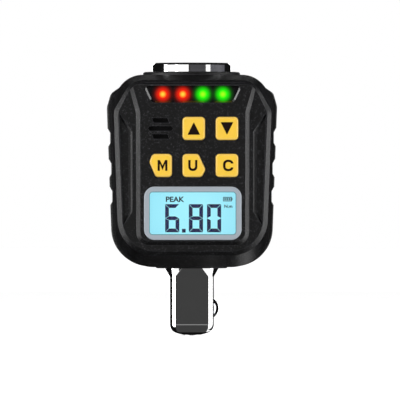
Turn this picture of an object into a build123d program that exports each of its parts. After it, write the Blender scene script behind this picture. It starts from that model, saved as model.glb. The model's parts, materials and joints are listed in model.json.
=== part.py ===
"""Digital torque adapter: a half-inch square drive extension with a gauge shaft and a read-out.

Frame: millimetres, +Z up along the torque axis, the display faces -Y, and the origin is the
centre of the male drive's tip. The two shell halves part on the plane Y = 0.
"""
from build123d import *
import math
import os

# Clearances
RUN_CLEAR = 0.05             # radial clearance of every close fit
FREE_CLEAR = 0.3             # gap where nothing guides
TAB_CLEAR = 0.1              # round solder tabs and small screws
FUSE = 0.5                   # how far a boss reaches into the wall that carries it
OVER = 1.0                   # how far a cut passes the face it opens
FAR = 100.0                  # larger than the whole adapter

# Battery cells, which set the housing's height and depth
CELL_D, CELL_L = 10.5, 44.5
CELL_NUB_D, CELL_NUB_H = 3.8, 0.9
CELL_GAP = 0.7               # between the two cells
CELL_SEAT = 0.1              # cell to bay floor
CELL_COVER_GAP = 0.2         # cell to cover
PLATE_T = 0.4                # contact plates
SPRING_ROOM = 2.9            # beyond the flat end of each cell
BAY_SIDE = 0.25              # beside the cells
BAY_END_LOW = 3.6            # housing below the bay
BAY_END_TOP = 3.5            # housing above the bay

# Heights
HOUSING_BOTTOM = 19.8        # the male drive stands out this far
HEAD_PROUD = 3.55            # the head stands above the housing
BAY_BOTTOM = HOUSING_BOTTOM + BAY_END_LOW
BAY_TOP = BAY_BOTTOM + CELL_L + SPRING_ROOM + 2 * PLATE_T
HOUSING_TOP = BAY_TOP + BAY_END_TOP
TOTAL_H = HOUSING_TOP + HEAD_PROUD

# Male drive
DRIVE_SQUARE = 12.7          # across flats
DRIVE_CORNER_OVER = 3.2      # its turned corners stand out over the flats
DRIVE_CORNER_D = DRIVE_SQUARE + DRIVE_CORNER_OVER
TIP_FLAT_HALF = 1.0          # small flat left on the end
TIP_CROWN_R, TIP_EDGE_R = 13.0, 2.6          # crowned end and its rounded edge, across the flats
CORNER_CROWN_R, CORNER_EDGE_R = 20.4, 2.43   # the same, turned round the corners
FLARE_DROP, FLARE_RISE = 2.8, 0.6    # the square flares out round the housing's bottom
FLARE_OUT = 1.95             # at its flats, each side
FLARE_CORNER_OUT = 0.65      # at its corners, each side
FLARE_Z, FLARE_TOP = HOUSING_BOTTOM - FLARE_DROP, HOUSING_BOTTOM + FLARE_RISE
FLARE_SQUARE = DRIVE_SQUARE + 2 * FLARE_OUT
FLARE_D = DRIVE_CORNER_D + 2 * FLARE_CORNER_OUT
NECK_OVER = 0.3              # neck for the seal, thicker than the square
NECK_D = DRIVE_SQUARE + NECK_OVER

# Ball that holds a socket on the male drive
BALL_D = 6.6
BALL_Z = 7.9
BALL_PROUD = 1.5
BALL_HOLE_D = BALL_D + 2 * RUN_CLEAR
BALL_HOLE_FLOOR = 2.45       # steel left behind the blind cross hole
BALL_HOLE_END = BALL_HOLE_FLOOR - DRIVE_SQUARE / 2
BALL_CENTRE_X = DRIVE_SQUARE / 2 + BALL_PROUD - BALL_D / 2
BALL_SPRING_D = 4.2          # mean diameter
BALL_SPRING_WIRE = 0.5
BALL_SPRING_TURNS = 5

# Lower journal with its bush and retaining ring
SPIGOT_H = 2.2               # housing floor under the bush
JOURNAL_OVER = 1.1           # thicker than the square's corners
JOURNAL_D = DRIVE_CORNER_D + JOURNAL_OVER
JOURNAL_Z = HOUSING_BOTTOM + SPIGOT_H
BUSH_WALL = 1.75
BUSH_H = 5.0
BUSH_IN_D = JOURNAL_D + 2 * RUN_CLEAR
BUSH_D = BUSH_IN_D + 2 * BUSH_WALL
BUSH_TOP = JOURNAL_Z + BUSH_H
CLIP_T = 1.1
CLIP_W = 2.45                # radial width
CLIP_GAP_HALF = 3.0          # half of the opening at its back
CLIP_GROOVE_DEPTH = 0.8
CLIP_GROOVE_D = JOURNAL_D - 2 * CLIP_GROOVE_DEPTH
CLIP_IN_D = CLIP_GROOVE_D + 2 * RUN_CLEAR
CLIP_OUT_D = CLIP_IN_D + 2 * CLIP_W
JOURNAL_END = 0.65           # journal above the ring groove
JOURNAL_TOP = BUSH_TOP + CLIP_T + 3 * RUN_CLEAR + JOURNAL_END
LOWER_BLOCK_WALL = 1.2       # plastic round the bush
LOWER_BLOCK_END = 2.0        # plastic above the journal
LOWER_BLOCK_D = max(BUSH_D, CLIP_OUT_D) + 2 * LOWER_BLOCK_WALL
LOWER_BLOCK_TOP = JOURNAL_TOP + LOWER_BLOCK_END

# Gauge section between the journal and the head
GAUGE_STEP = 1.5             # thinner than the journal, each side
GAUGE_D = JOURNAL_D - 2 * GAUGE_STEP
GAUGE_CUT = 0.5              # depth of the two flats that carry the gauges
GAUGE_FLAT = GAUGE_D - 2 * GAUGE_CUT
GAUGE_W, GAUGE_H, GAUGE_T = 4.6, 8.0, 0.3
GAUGE_RISE = 24.0            # centre of the gauges above the bush's seat
GAUGE_Z = JOURNAL_Z + GAUGE_RISE

# Head with the female square
HEAD_D = 22.7
HEAD_CHAMFER = 0.6
SOCKET_PLAY = 0.15
SOCKET_SQUARE = DRIVE_SQUARE + SOCKET_PLAY
SOCKET_DEPTH = 15.5
SOCKET_LEAD_IN = 0.8
HEAD_FLOOR = 2.65            # steel under the square
HEAD_Z = TOTAL_H - SOCKET_DEPTH - HEAD_FLOOR
DETENT_GROOVE_DEPTH = 0.875  # ring in the wall that takes a driver's ball
DETENT_GROOVE_D = SOCKET_SQUARE + 2 * DETENT_GROOVE_DEPTH
DETENT_GROOVE_H = 3.4
DETENT_GROOVE_DROP = 6.4     # mouth to top of that ring
PIN_D = 2.5                  # locating pin between head and housing
PIN_RISE = 3.5               # above the underside of the head
PIN_BITE = 2.75              # how far it enters the head
PIN_L = 6.4
PIN_EAR_WALL = 1.5
PIN_EAR_END = 2.5
PIN_Z = HEAD_Z + PIN_RISE
PIN_IN = HEAD_D / 2 - PIN_BITE
UPPER_SEAL_W = 0.6
UPPER_SEAL_H = 1.8
UPPER_SEAL_DROP = 3.4        # under the housing's top
UPPER_SEAL_Z = HOUSING_TOP - UPPER_SEAL_DROP
UPPER_SEAL_IN_D = HEAD_D + 2 * RUN_CLEAR
UPPER_SEAL_D = UPPER_SEAL_IN_D + 2 * UPPER_SEAL_W
UPPER_BLOCK_WALL = 0.6       # plastic round the seal
UPPER_BLOCK_D = UPPER_SEAL_D + 2 * UPPER_BLOCK_WALL
LEDGE_T = 1.75               # plastic under the head
UPPER_BLOCK_LOW = HEAD_Z - LEDGE_T
NECK_RING_W = 2.65           # ring that stands up around the head
NECK_RING_RISE = 0.95
NECK_RING_EDGE = 0.5         # its outer edge is rounded
NECK_RING_D = HEAD_D + 2 * NECK_RING_W
NECK_RING_TOP = HOUSING_TOP + NECK_RING_RISE

# Lower seal
COLLAR_DROP = 0.4            # its lip under the housing
COLLAR_LIP = 0.9
COLLAR_GAP = 0.15            # round the flare
COLLAR_WALL = 0.85
COLLAR_END_GAP = 0.2         # to the flare and to the journal
SPIGOT_D = FLARE_D + 2 * (COLLAR_GAP + COLLAR_WALL)

# Display
SCREEN_W, SCREEN_H, SCREEN_R = 25.0, 12.4, 1.0
WINDOW_LAP = 0.55            # window edge that lies under the bezel
WINDOW_W, WINDOW_H = SCREEN_W + 2 * WINDOW_LAP, SCREEN_H + 2 * WINDOW_LAP
WINDOW_R = SCREEN_R + WINDOW_LAP
BEZEL_SIDE, BEZEL_END, BEZEL_R = 1.45, 1.43, 3.0
BEZEL_W = SCREEN_W + 2 * BEZEL_SIDE
BEZEL_H = SCREEN_H + 2 * BEZEL_END
BEZEL_PROUD = 0.3
BEZEL_EDGE = 0.2
SEAT_DEPTH = 1.0             # recess of bezel and indicator window in the front wall
WINDOW_T = 0.75
LCD_MARGIN = 0.75            # glass beyond the window, left and right
LCD_W, LCD_H, LCD_T = SCREEN_W + 2 * LCD_MARGIN, 14.0, 1.6
LCD_R = 0.5
STRIP_T = 1.2                # elastomer strips that feed the display
BACKLIGHT_H = LCD_H - 2 * (STRIP_T + FREE_CLEAR)
DISPLAY_RISE = 15.5          # its centre above the housing's bottom
DISPLAY_Z = HOUSING_BOTTOM + DISPLAY_RISE

# Indicator lights: the window's corners lie round the row of lamps
LAMP_DROP = 5.7              # under the housing's top
LAMP_Z = HOUSING_TOP - LAMP_DROP
LAMP_PITCH = 5.74
LAMP_D = 2.9
LAMP_GAP = 0.25              # lamp to window
LENS_SHAPE = [(14.2, 2.45, 1.0), (11.9, -2.45, 1.8)]
LENS_RIM = 0.45              # lip behind the window's edge
LENS_PROUD = 0.5
LENS_EDGE = 0.55             # polished bevel round its front

# Keys: the rows share out the free height between display and indicators
KEY_W, KEY_H, KEY_R = 6.4, 6.55, 1.1
KEY_PITCH = 9.5
KEY_CENTRE_X = 0.28
KEY_PROUD = 0.7
KEY_EDGE = 0.3
KEY_CLEAR = 0.15
KEY_FLANGE = 0.7
KEY_FLANGE_T = 0.7
KEY_TRAVEL = 0.6
KEY_SLIP = 0.1               # gap between flange and wall at rest
# Keys with cut corners: corners as shares of the half width and half height
MODE_SHAPE = [(-0.7, 1.0), (-1.0, 0.32), (-0.43, -1.0), (1.0, -1.0), (1.0, 1.0)]
UNIT_SHAPE = [(-1.0, 1.0), (0.4, 1.0), (1.04, -0.36), (0.7, -1.0), (-1.0, -1.0)]
LOWER_GAP, MIDDLE_GAP = 0.2558, 0.3706
FREE_H = LAMP_Z + LENS_SHAPE[1][1] - DISPLAY_Z - BEZEL_H / 2 - 2 * KEY_H
LOWER_ROW_Z = DISPLAY_Z + BEZEL_H / 2 + LOWER_GAP * FREE_H + KEY_H / 2
UPPER_ROW_Z = LOWER_ROW_Z + KEY_H + MIDDLE_GAP * FREE_H
KEYS = {
    "up_key": (0, UPPER_ROW_Z),
    "down_key": (1, UPPER_ROW_Z),
    "mode_key": (-1, LOWER_ROW_Z),
    "unit_key": (0, LOWER_ROW_Z),
    "clear_key": (1, LOWER_ROW_Z),
}

# Sounder, in the free place of the upper row
SOUNDER_X, SOUNDER_Z = KEY_CENTRE_X - KEY_PITCH, UPPER_ROW_Z
SOUNDER_D = 8.8
SOUNDER_H = 4.0
SLOT_H = 1.4
SLOT_PITCH = 2.3
SLOT_LENGTHS = [5.0, 7.3, 5.0]
SLOT_SLANT = 0.5

# Depths, from the shaft outwards
BOARD_T = 1.6
BOARD_CLEAR = 1.0            # board to the block round the head
BOARD_BACK_Y = -(UPPER_BLOCK_D / 2 + BOARD_CLEAR)
BOARD_Y = BOARD_BACK_Y - BOARD_T
FRONT_ROOM = 4.8             # board to front wall, for display and keys
FRONT_WALL = 1.6
INNER_Y = BOARD_Y - FRONT_ROOM
FRONT_Y = INNER_Y - FRONT_WALL
SEAT_Y = FRONT_Y + SEAT_DEPTH
PLATEAU_RISE = 1.2
FRAME_Y = FRONT_Y + PLATEAU_RISE
RIM_BEVEL = 1.0              # depth of the bevel round the face
RIM_Y = FRAME_Y + RIM_BEVEL
FLANK_DEPTH = 7.6            # face to where the flank meets the full outline
FLANK_Y = FRONT_Y + FLANK_DEPTH
POCKET_DEPTH = 0.9
POCKET_WALL = 2.2            # plastic behind the side pockets
CAVITY_FRONT_Y = FRAME_Y + POCKET_DEPTH + POCKET_WALL
BAY_SKIN = 0.5               # plastic between the head's bore and the bay
BAY_WALL = 0.7               # bay floor beyond that skin
COVER_T = 1.3
BAY_FLOOR_Y = HEAD_D / 2 + RUN_CLEAR + BAY_SKIN
CELL_Y = BAY_FLOOR_Y + CELL_SEAT + CELL_D / 2
COVER_Y = CELL_Y + CELL_D / 2 + CELL_COVER_GAP
BACK_Y = COVER_Y + COVER_T
SHOULDER_DEPTH = 4.5         # back to where it starts to draw in
SHOULDER_Y = BACK_Y - SHOULDER_DEPTH
REAR_FLANK_DEPTH = 10.0      # back to where the full outline ends
REAR_FLANK_Y = BACK_Y - REAR_FLANK_DEPTH
REAR_HOLLOW_DEPTH = 5.0      # back to the hollow beside the bay
CAVITY_BACK_Y = BACK_Y - REAR_HOLLOW_DEPTH
SHOULDER_INSET = 0.6
BACK_INSET = 2.2
WALL = 2.4

# Outlines seen from the front: (inset from the half width, height, corner radius).
# Heights are drops from the housing's top; the last one is a rise from its bottom.
FACE_SIDE = 9.45             # housing beside the display bezel
HALF_WIDTH = BEZEL_W / 2 + FACE_SIDE
BODY_SHAPE = [(5.1, 0.0, 8.0), (0.0, 7.0, 5.0), (1.7, 0.0, 11.0)]
RIM_SHAPE = [(5.85, 1.6, 6.5), (0.8, 10.4, 3.0), (2.2, 3.4, 10.5)]
FACE_SHAPE = [(6.2, 2.3, 6.0), (1.95, 11.1, 3.0), (3.5, 4.6, 9.5)]
GRIP_SHAPE = [(3.7, 2.8, 0.5), (0.1, 5.3, 2.0), (-1.0, 9.1, 4.0), (0.65, 0.2, 11.0)]
PLATEAU_BASE = [(4.9, 2.35, 0.5), (7.15, 11.2, 2.0), (7.25, 6.3, 3.8)]
PLATEAU_TOP = [(6.0, 2.8, 0.5), (8.3, 10.7, 2.0), (8.35, 7.5, 2.6)]
POCKET_UPPER = [(2.35, 11.0), (6.05, 16.4)]
POCKET_LOWER = [(6.05, 16.0), (3.45, 11.9)]
POCKET_SLOPE = 1.0           # width of the pocket's slanted inner wall
NICHE_INSET = 8.0            # hollow right behind the plateau
NICHE_DROP, NICHE_RISE = 3.9, 7.1

# Side grips
GRIP_SEAT = 0.9              # depth of the channel they sit in
GRIP_FRONT_STEP = 1.0        # behind the front flank's end
GRIP_BACK_STEP = 1.5         # before the rear flank's end
GRIP_FRONT_Y = FLANK_Y + GRIP_FRONT_STEP
GRIP_BACK_Y = REAR_FLANK_Y - GRIP_BACK_STEP
GRIP_END_INSET = 9.4         # they stop here under the housing
GRIP_EDGE = 0.35             # bevel on the long edges
SCALLOP_DROPS = [18.05, 26.95, 34.95]
SCALLOP_FLOOR = 3.0
SCALLOP_SLOPE = 1.2
SCALLOP_DEPTH = 0.65

# Circuit board
BOARD_RISE, BOARD_DROP = 6.2, 4.2
BOARD_INSET = 3.0            # inside the rim outline
BOARD_SCREW_AT = [(5.9, 18.1), (6.2, 17.2)]
BOARD_POST_D = 4.0
CHIP_SQUARE, CHIP_T = 8.0, 1.3
CHIP_DROP = 1.3              # its centre under the display's
AMP_W, AMP_H = 5.0, 4.0
AMP_X = 6.5
AMP_DROP = 4.5               # its centre under the head
DOME_D, DOME_T = 4.0, 0.35
MAT_T = 1.0
MAT_MARGIN = 4.8             # beyond the key centres
MAT_R = 1.5
MAT_RIM = 0.8
MAT_LIFT = 0.4               # sheet above the domes
MAT_GAP = 0.3                # pressed key to mat
BUMP_D, NUB_D = 4.4, 1.6
NUB_CLEAR = 0.1              # nub to dome

# Screws: (shank, head diameter, head height)
CASE_SCREW = (2.5, 4.6, 1.8)
CASE_SCREW_AT = [(6.0, 8.6), (7.8, 8.7)]
CASE_SEAT_DEPTH = 12.0       # back face to the floor of the deep counterbores
CASE_SEAT_Y = BACK_Y - CASE_SEAT_DEPTH
CASE_SCREW_L = 20.0
CASE_BOSS_D, FRONT_BOSS_D = 7.0, 6.0
CASE_HOLE_PLAY, CASE_BORE_PLAY = 0.3, 0.6
BOARD_SCREW = (2.0, 3.6, 1.2)
BOARD_SCREW_L = 4.4
COVER_SCREW = (2.0, 3.6, 0.8)
COVER_SCREW_L = 4.2
COVER_HEAD_SINK = 0.05       # head under the back face
HEAD_BORE_PLAY = 0.3
CROSS_SHARE = 0.62           # length of the cross slot on the head
CROSS_W, CROSS_DEPTH = 0.5, 0.5

# Battery bay, contacts and cover
CELL_X = (CELL_D + CELL_GAP) / 2
BAY_HALF = CELL_X + CELL_D / 2 + BAY_SIDE
BAY_SIDE_WALL = 1.5
PLATE_SIDE, PLATE_FRONT, PLATE_BACK = 0.85, 1.35, 0.65
PLATE_SPLIT = 1.0            # half of the gap between the lower plates
TAB_W = 1.8
TAB_SIDE = 3.4               # outwards from the cell's middle
TAB_X = CELL_X + TAB_SIDE
TAB_OUT = 0.9                # tab beyond the bay floor
CELL_SPRING_D = 5.6
CELL_SPRING_WIRE = 0.6
CELL_SPRING_TURNS = 2
COVER_SIDE, COVER_LIP, COVER_R = 1.3, 0.4, 2.0
COVER_CLEAR = 0.15
COVER_EDGE = 0.25
COVER_HALF = BAY_HALF + COVER_SIDE
EAR_OUT = 2.0                # screw beyond the cover's side
EAR_REACH = 2.5              # ear beyond the screw
EAR_HALF = 4.0
EAR_X, EAR_Z = COVER_HALF + EAR_OUT, (BAY_BOTTOM + BAY_TOP) / 2
EAR_BOSS_D = 4.8
EAR_BOSS_END = 1.5
COVER_SEAL_INSET = 0.35
COVER_SEAL_END = 0.05
COVER_SEAL_R = 1.5
SEAL_T = 0.4
GASKET_INSET, GASKET_W = 1.3, 0.72

# Wires
WIRE_D = 0.8
LEAD_SEAT = 0.45             # battery lead to bay floor
LEAD_RISE, LEAD_STEP = 9.0, 4.0
LEAD_INSET, LEAD_Y = 9.0, 3.5
LEAD_BEND = 4.0
GAUGE_LEAD_OUT, GAUGE_LEAD_BOW = 2.4, 4.2
GAUGE_LEAD_BENDS = [1.0, 1.2]
GAUGE_LEAD_RISE = 2.0
AROUND_OUT, AROUND_SIDE = 2.2, 2.6
AROUND_BENDS = [1.6, 2.0]


def save(node, *solids):
    """Write one sub-part; several solids stay separate inside one compound."""
    shape = solids[0] if len(solids) == 1 else Compound(children=list(solids))
    export_step(shape, f"parts/{node}.step")


def at_y(y, sketch):
    """Stand a sketch drawn in x and z upright on the plane at this y."""
    return Plane.XZ.offset(-y) * sketch


def slab(sketch, y_front, y_back):
    """Plate with the sketch's outline between two depths."""
    return extrude(at_y(y_back, sketch), amount=y_back - y_front)


def prism(sketch, z_low, z_high):
    """Column with the sketch's plan between two heights."""
    return extrude(Pos(0, 0, z_low) * sketch, amount=z_high - z_low)


def box(x0, x1, y0, y1, z0, z1):
    """Box between two corners."""
    size = (x1 - x0, y1 - y0, z1 - z0)
    return Pos((x0 + x1) / 2, (y0 + y1) / 2, (z0 + z1) / 2) * Box(*size)


def rod_x(z, d, x_low, x_high):
    """Round bar along X through the torque axis."""
    return Pos((x_low + x_high) / 2, 0, z) * Rot(0, 90, 0) * Cylinder(d / 2, x_high - x_low)


def rod_y(x, z, d, y_front, y_back):
    """Round bar along Y."""
    return slab(Pos(x, z) * Circle(d / 2), y_front, y_back)


def ring_z(d_out, d_in, z_low, z_high):
    """Tube round the torque axis."""
    return prism(Circle(d_out / 2) - Circle(d_in / 2), z_low, z_high)


def column_z(d, z_low, z_high):
    """Round bar on the torque axis."""
    return prism(Circle(d / 2), z_low, z_high)


def from_top(spots):
    """Places from insets and drops: (half width, height, and what follows)."""
    return [(HALF_WIDTH - s[0], HOUSING_TOP - s[1], *s[2:]) for s in spots]


def from_bottom(spots):
    """Places from insets and rises."""
    return [(HALF_WIDTH - s[0], HOUSING_BOTTOM + s[1], *s[2:]) for s in spots]


def placed(shape):
    """Corners of an outline whose last one is measured from the bottom."""
    return from_top(shape[:-1]) + from_bottom(shape[-1:])


def both_sides(spots):
    """Left and right copies of a list of places."""
    return [(side * x, z) for x, z in spots for side in (-1, 1)]


def mirrored(corners):
    """Points and radii of a symmetric outline from its right-hand corners."""
    right = [(c[0], c[1]) for c in corners]
    left = [(-x, z) for x, z in reversed(right)]
    radii = [c[2] if len(c) > 2 else 0 for c in corners]
    return right + left, radii + radii[::-1]


def outline(shape, inset=0.0):
    """Symmetric face outline with rounded corners, drawn in by an inset."""
    points, radii = mirrored(placed(shape))
    face = make_face(FilletPolyline(*points, radius=radii, close=True))
    return offset(face, amount=-inset) if inset else face


def step_between(low, y_low, high, y_high):
    """Solid that blends one outline into another over a depth."""
    return loft([at_y(y_low, low), at_y(y_high, high)], ruled=True)


BODY = outline(BODY_SHAPE)
BODY_INNER = outline(BODY_SHAPE, WALL)
RIM = outline(RIM_SHAPE)
RIM_INNER = outline(RIM_SHAPE, WALL)
FACE = outline(FACE_SHAPE)


def crowned_end(half, crown_r, edge_r):
    """Half section of a bar standing on its crowned end, whose edge is rounded."""
    crown_z = math.sqrt(crown_r ** 2 - TIP_FLAT_HALF ** 2)
    bar = Rectangle(half, FLARE_Z, align=(Align.MIN, Align.MIN))
    section = bar & Pos(0, crown_z) * Circle(crown_r)
    return fillet(section.vertices().group_by(Axis.Y)[1], edge_r)


def turned_square(side, corner_d, z):
    """Section of a square bar with turned corners."""
    return Pos(0, 0, z) * (Rectangle(side, side) & Circle(corner_d / 2))


def make_drive():
    """Male square: each flat and each turned corner runs on into the crowned end."""
    half_section = crowned_end(DRIVE_SQUARE / 2, TIP_CROWN_R, TIP_EDGE_R)
    section = half_section + mirror(half_section, Plane.YZ)
    drive = revolve(Plane.XZ * crowned_end(DRIVE_CORNER_D / 2, CORNER_CROWN_R, CORNER_EDGE_R), Axis.Z)
    drive = drive & extrude(Plane.XZ * section, DRIVE_SQUARE, both=True)
    drive = drive & extrude(Plane.YZ * section, DRIVE_SQUARE, both=True)
    return drive + loft([turned_square(DRIVE_SQUARE, DRIVE_CORNER_D, FLARE_Z),
                         turned_square(FLARE_SQUARE, FLARE_D, FLARE_TOP)], ruled=True)


def make_shaft():
    """One-piece steel shaft: male square, journal, gauge section, head."""
    stem = column_z(NECK_D, FLARE_TOP, JOURNAL_Z) + column_z(JOURNAL_D, JOURNAL_Z, JOURNAL_TOP)
    gauge = column_z(GAUGE_D, JOURNAL_TOP, HEAD_Z)
    gauge = gauge & box(-GAUGE_D, GAUGE_D, -GAUGE_FLAT / 2, GAUGE_FLAT / 2, JOURNAL_TOP, HEAD_Z)
    head = column_z(HEAD_D, HEAD_Z, TOTAL_H)
    head = chamfer(head.edges().group_by(Axis.Z)[-1], HEAD_CHAMFER)
    shaft = make_drive() + stem + gauge + head
    shaft -= clip_groove()
    shaft -= socket_space()
    shaft -= ball_hole()
    shaft -= pin_bar(RUN_CLEAR)
    return shaft


def clip_groove():
    """Groove that the retaining ring sits in."""
    low = BUSH_TOP + RUN_CLEAR
    return ring_z(JOURNAL_D + OVER, CLIP_GROOVE_D, low, low + CLIP_T + 2 * RUN_CLEAR)


def socket_space():
    """Female square with its lead-in and the ring for a driver's ball."""
    straight = Rectangle(SOCKET_SQUARE, SOCKET_SQUARE)
    wide = SOCKET_SQUARE + 2 * SOCKET_LEAD_IN
    cut = prism(straight, TOTAL_H - SOCKET_DEPTH, TOTAL_H + OVER)
    cut += loft([Pos(0, 0, TOTAL_H - SOCKET_LEAD_IN) * straight, Pos(0, 0, TOTAL_H) * Rectangle(wide, wide)],
                ruled=True)
    ring_top = TOTAL_H - DETENT_GROOVE_DROP
    cut += column_z(DETENT_GROOVE_D, ring_top - DETENT_GROOVE_H, ring_top)
    return cut


def ball_hole():
    """Blind cross hole whose mouth is staked in round the ball."""
    bore = rod_x(BALL_Z, BALL_HOLE_D, BALL_HOLE_END, BALL_CENTRE_X)
    return bore + Pos(BALL_CENTRE_X, 0, BALL_Z) * Sphere(BALL_HOLE_D / 2)


def coil(mean_d, wire_d, length, turns):
    """Compression spring standing on Z from 0 to its length."""
    rise = length - wire_d
    path = Helix(pitch=rise / turns, height=rise, radius=mean_d / 2)
    section = Plane(origin=path @ 0, z_dir=path % 0) * Circle(wire_d / 2)
    return Pos(0, 0, wire_d / 2) * sweep(section, path=path, is_frenet=True)


def make_ball_spring():
    """Spring behind the ball, lying along X."""
    reach = math.sqrt((BALL_D / 2) ** 2 - (BALL_SPRING_D / 2) ** 2)
    free_end = BALL_CENTRE_X - reach - BALL_SPRING_WIRE / 2
    length = free_end - BALL_HOLE_END - 2 * RUN_CLEAR
    spring = coil(BALL_SPRING_D, BALL_SPRING_WIRE, length, BALL_SPRING_TURNS)
    return Pos(BALL_HOLE_END + RUN_CLEAR, 0, BALL_Z) * Rot(0, 90, 0) * spring


def pin_bar(extra=0.0):
    """Locating pin, or its hole with extra clearance."""
    return rod_x(PIN_Z, PIN_D + 2 * extra, PIN_IN - extra, PIN_IN + PIN_L + extra)


def shaft_blocks():
    """Blocks inside the shells that carry the shaft at both ends."""
    upper = column_z(UPPER_BLOCK_D, UPPER_BLOCK_LOW, HOUSING_TOP)
    lower = column_z(LOWER_BLOCK_D, HOUSING_BOTTOM, LOWER_BLOCK_TOP)
    ear = rod_x(PIN_Z, PIN_D + 2 * PIN_EAR_WALL, 0, PIN_IN + PIN_L + PIN_EAR_END)
    return upper + lower + ear


def shaft_space():
    """Everything cut from the shells for the shaft, its bush, ring, seals and pin."""
    cut = column_z(UPPER_SEAL_IN_D, HEAD_Z - RUN_CLEAR, NECK_RING_TOP + OVER)
    cut += column_z(UPPER_SEAL_D + 2 * RUN_CLEAR, UPPER_SEAL_Z - RUN_CLEAR,
                    UPPER_SEAL_Z + UPPER_SEAL_H + RUN_CLEAR)
    cut += column_z(GAUGE_D + 2 * FREE_CLEAR, LOWER_BLOCK_TOP, HEAD_Z)
    cut += column_z(JOURNAL_D + 2 * FREE_CLEAR, BUSH_TOP, LOWER_BLOCK_TOP + OVER)
    cut += column_z(CLIP_OUT_D + 2 * FREE_CLEAR, BUSH_TOP, BUSH_TOP + CLIP_T + 3 * RUN_CLEAR)
    cut += column_z(BUSH_D + 2 * RUN_CLEAR, JOURNAL_Z, BUSH_TOP)
    cut += column_z(SPIGOT_D + 2 * RUN_CLEAR, HOUSING_BOTTOM - OVER, JOURNAL_Z)
    cut += pin_bar(RUN_CLEAR)
    return cut


def make_lower_seal():
    """Rubber collar in the neck, with a lip under the housing round the flare."""
    bore = NECK_D / 2 + RUN_CLEAR
    shield = FLARE_D / 2 + COLLAR_GAP
    spigot = SPIGOT_D / 2
    top, step_z = JOURNAL_Z - COLLAR_END_GAP, FLARE_TOP + COLLAR_END_GAP
    low, lip = HOUSING_BOTTOM - COLLAR_DROP, spigot + COLLAR_LIP
    profile = Polyline(
        (bore, step_z), (bore, top), (spigot, top), (spigot, HOUSING_BOTTOM), (lip, HOUSING_BOTTOM),
        (lip - COLLAR_DROP, low), (shield, low), (shield, step_z), (bore, step_z))
    return revolve(Plane.XZ * make_face(profile), Axis.Z)


def make_retaining_ring():
    """Open spring ring with a gap at the back."""
    low = BUSH_TOP + 2 * RUN_CLEAR
    ring = ring_z(CLIP_OUT_D, CLIP_IN_D, low, low + CLIP_T)
    return ring - box(-CLIP_GAP_HALF, CLIP_GAP_HALF, 0, CLIP_OUT_D, low - OVER, low + CLIP_T + OVER)


def grip_space():
    """Right-hand channel between the grip's outline and its floor in the housing."""
    ring = slab(outline(GRIP_SHAPE), GRIP_FRONT_Y, GRIP_BACK_Y)
    ring -= slab(outline(BODY_SHAPE, GRIP_SEAT), GRIP_FRONT_Y - OVER, GRIP_BACK_Y + OVER)
    return ring & box(HALF_WIDTH - GRIP_END_INSET, FAR, -FAR, FAR, 0, FAR)


def grip_surface_x(z):
    """Outer face of the grip at a height on its straight side."""
    (x_top, z_top, _), (x_low, z_low, _) = placed(GRIP_SHAPE)[2:]
    return x_low + (x_top - x_low) * (z - z_low) / (z_top - z_low)


def scallop(z):
    """Groove across a grip."""
    low, deep = SCALLOP_FLOOR / 2 + SCALLOP_SLOPE, SCALLOP_FLOOR / 2
    surface = grip_surface_x(z)
    floor = surface - SCALLOP_DEPTH
    profile = Polyline((surface + OVER, z - low), (surface, z - low), (floor, z - deep), (floor, z + deep),
                       (surface, z + low), (surface + OVER, z + low), (surface + OVER, z - low))
    return slab(make_face(profile), GRIP_FRONT_Y - OVER, GRIP_BACK_Y + OVER)


def make_grip():
    """Right-hand rubber grip with bevelled long edges and three finger grooves."""
    full, drawn_in = outline(GRIP_SHAPE), outline(GRIP_SHAPE, GRIP_EDGE)
    front, back = GRIP_FRONT_Y + GRIP_EDGE, GRIP_BACK_Y - GRIP_EDGE
    bevelled = slab(full, front, back)
    bevelled += step_between(full, front, drawn_in, GRIP_FRONT_Y)
    bevelled += step_between(full, back, drawn_in, GRIP_BACK_Y)
    grip = grip_space() & bevelled
    for drop in SCALLOP_DROPS:
        grip -= scallop(HOUSING_TOP - drop)
    return grip


def pocket():
    """Right-hand side pocket of the face."""
    corners = from_top(POCKET_UPPER) + from_bottom(POCKET_LOWER)
    (xa, za), (xb, zb), (xc, zc), (xd, zd) = corners
    floor = [(xa, za - POCKET_SLOPE), (xb + POCKET_SLOPE, zb - POCKET_SLOPE / 2),
             (xc + POCKET_SLOPE, zc + POCKET_SLOPE / 2), (xd, zd + POCKET_SLOPE)]
    mouth = make_face(Polyline(*corners, corners[0]))
    return step_between(mouth, FRAME_Y, make_face(Polyline(*floor, floor[0])), FRAME_Y + POCKET_DEPTH)


def front_body():
    """Outer form of the front half: flank, rim bevel, face, raised plateau and side pockets."""
    body = slab(BODY, FLANK_Y, 0)
    body += step_between(BODY, FLANK_Y, RIM, RIM_Y)
    body += step_between(RIM, RIM_Y, FACE, FRAME_Y)
    plateau = step_between(outline(PLATEAU_BASE), FRAME_Y, outline(PLATEAU_TOP), FRONT_Y)
    body += plateau & slab(FACE, FRONT_Y, FRAME_Y)
    cut = pocket()
    body -= cut
    body -= mirror(cut, Plane.YZ)
    return body


def front_hollow():
    """Inside of the front half."""
    half = HALF_WIDTH - NICHE_INSET
    hollow = slab(BODY_INNER, FLANK_Y, OVER)
    hollow += step_between(BODY_INNER, FLANK_Y, RIM_INNER, CAVITY_FRONT_Y)
    hollow += box(-half, half, INNER_Y, CAVITY_FRONT_Y + FUSE, HOUSING_BOTTOM + NICHE_RISE,
                  HOUSING_TOP - NICHE_DROP)
    return hollow


def rear_body():
    """Outer form of the rear half."""
    shoulder = outline(BODY_SHAPE, SHOULDER_INSET)
    back = outline(BODY_SHAPE, BACK_INSET)
    body = slab(BODY, 0, REAR_FLANK_Y)
    body += step_between(BODY, REAR_FLANK_Y, shoulder, SHOULDER_Y)
    body += step_between(shoulder, SHOULDER_Y, back, BACK_Y)
    return body


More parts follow.
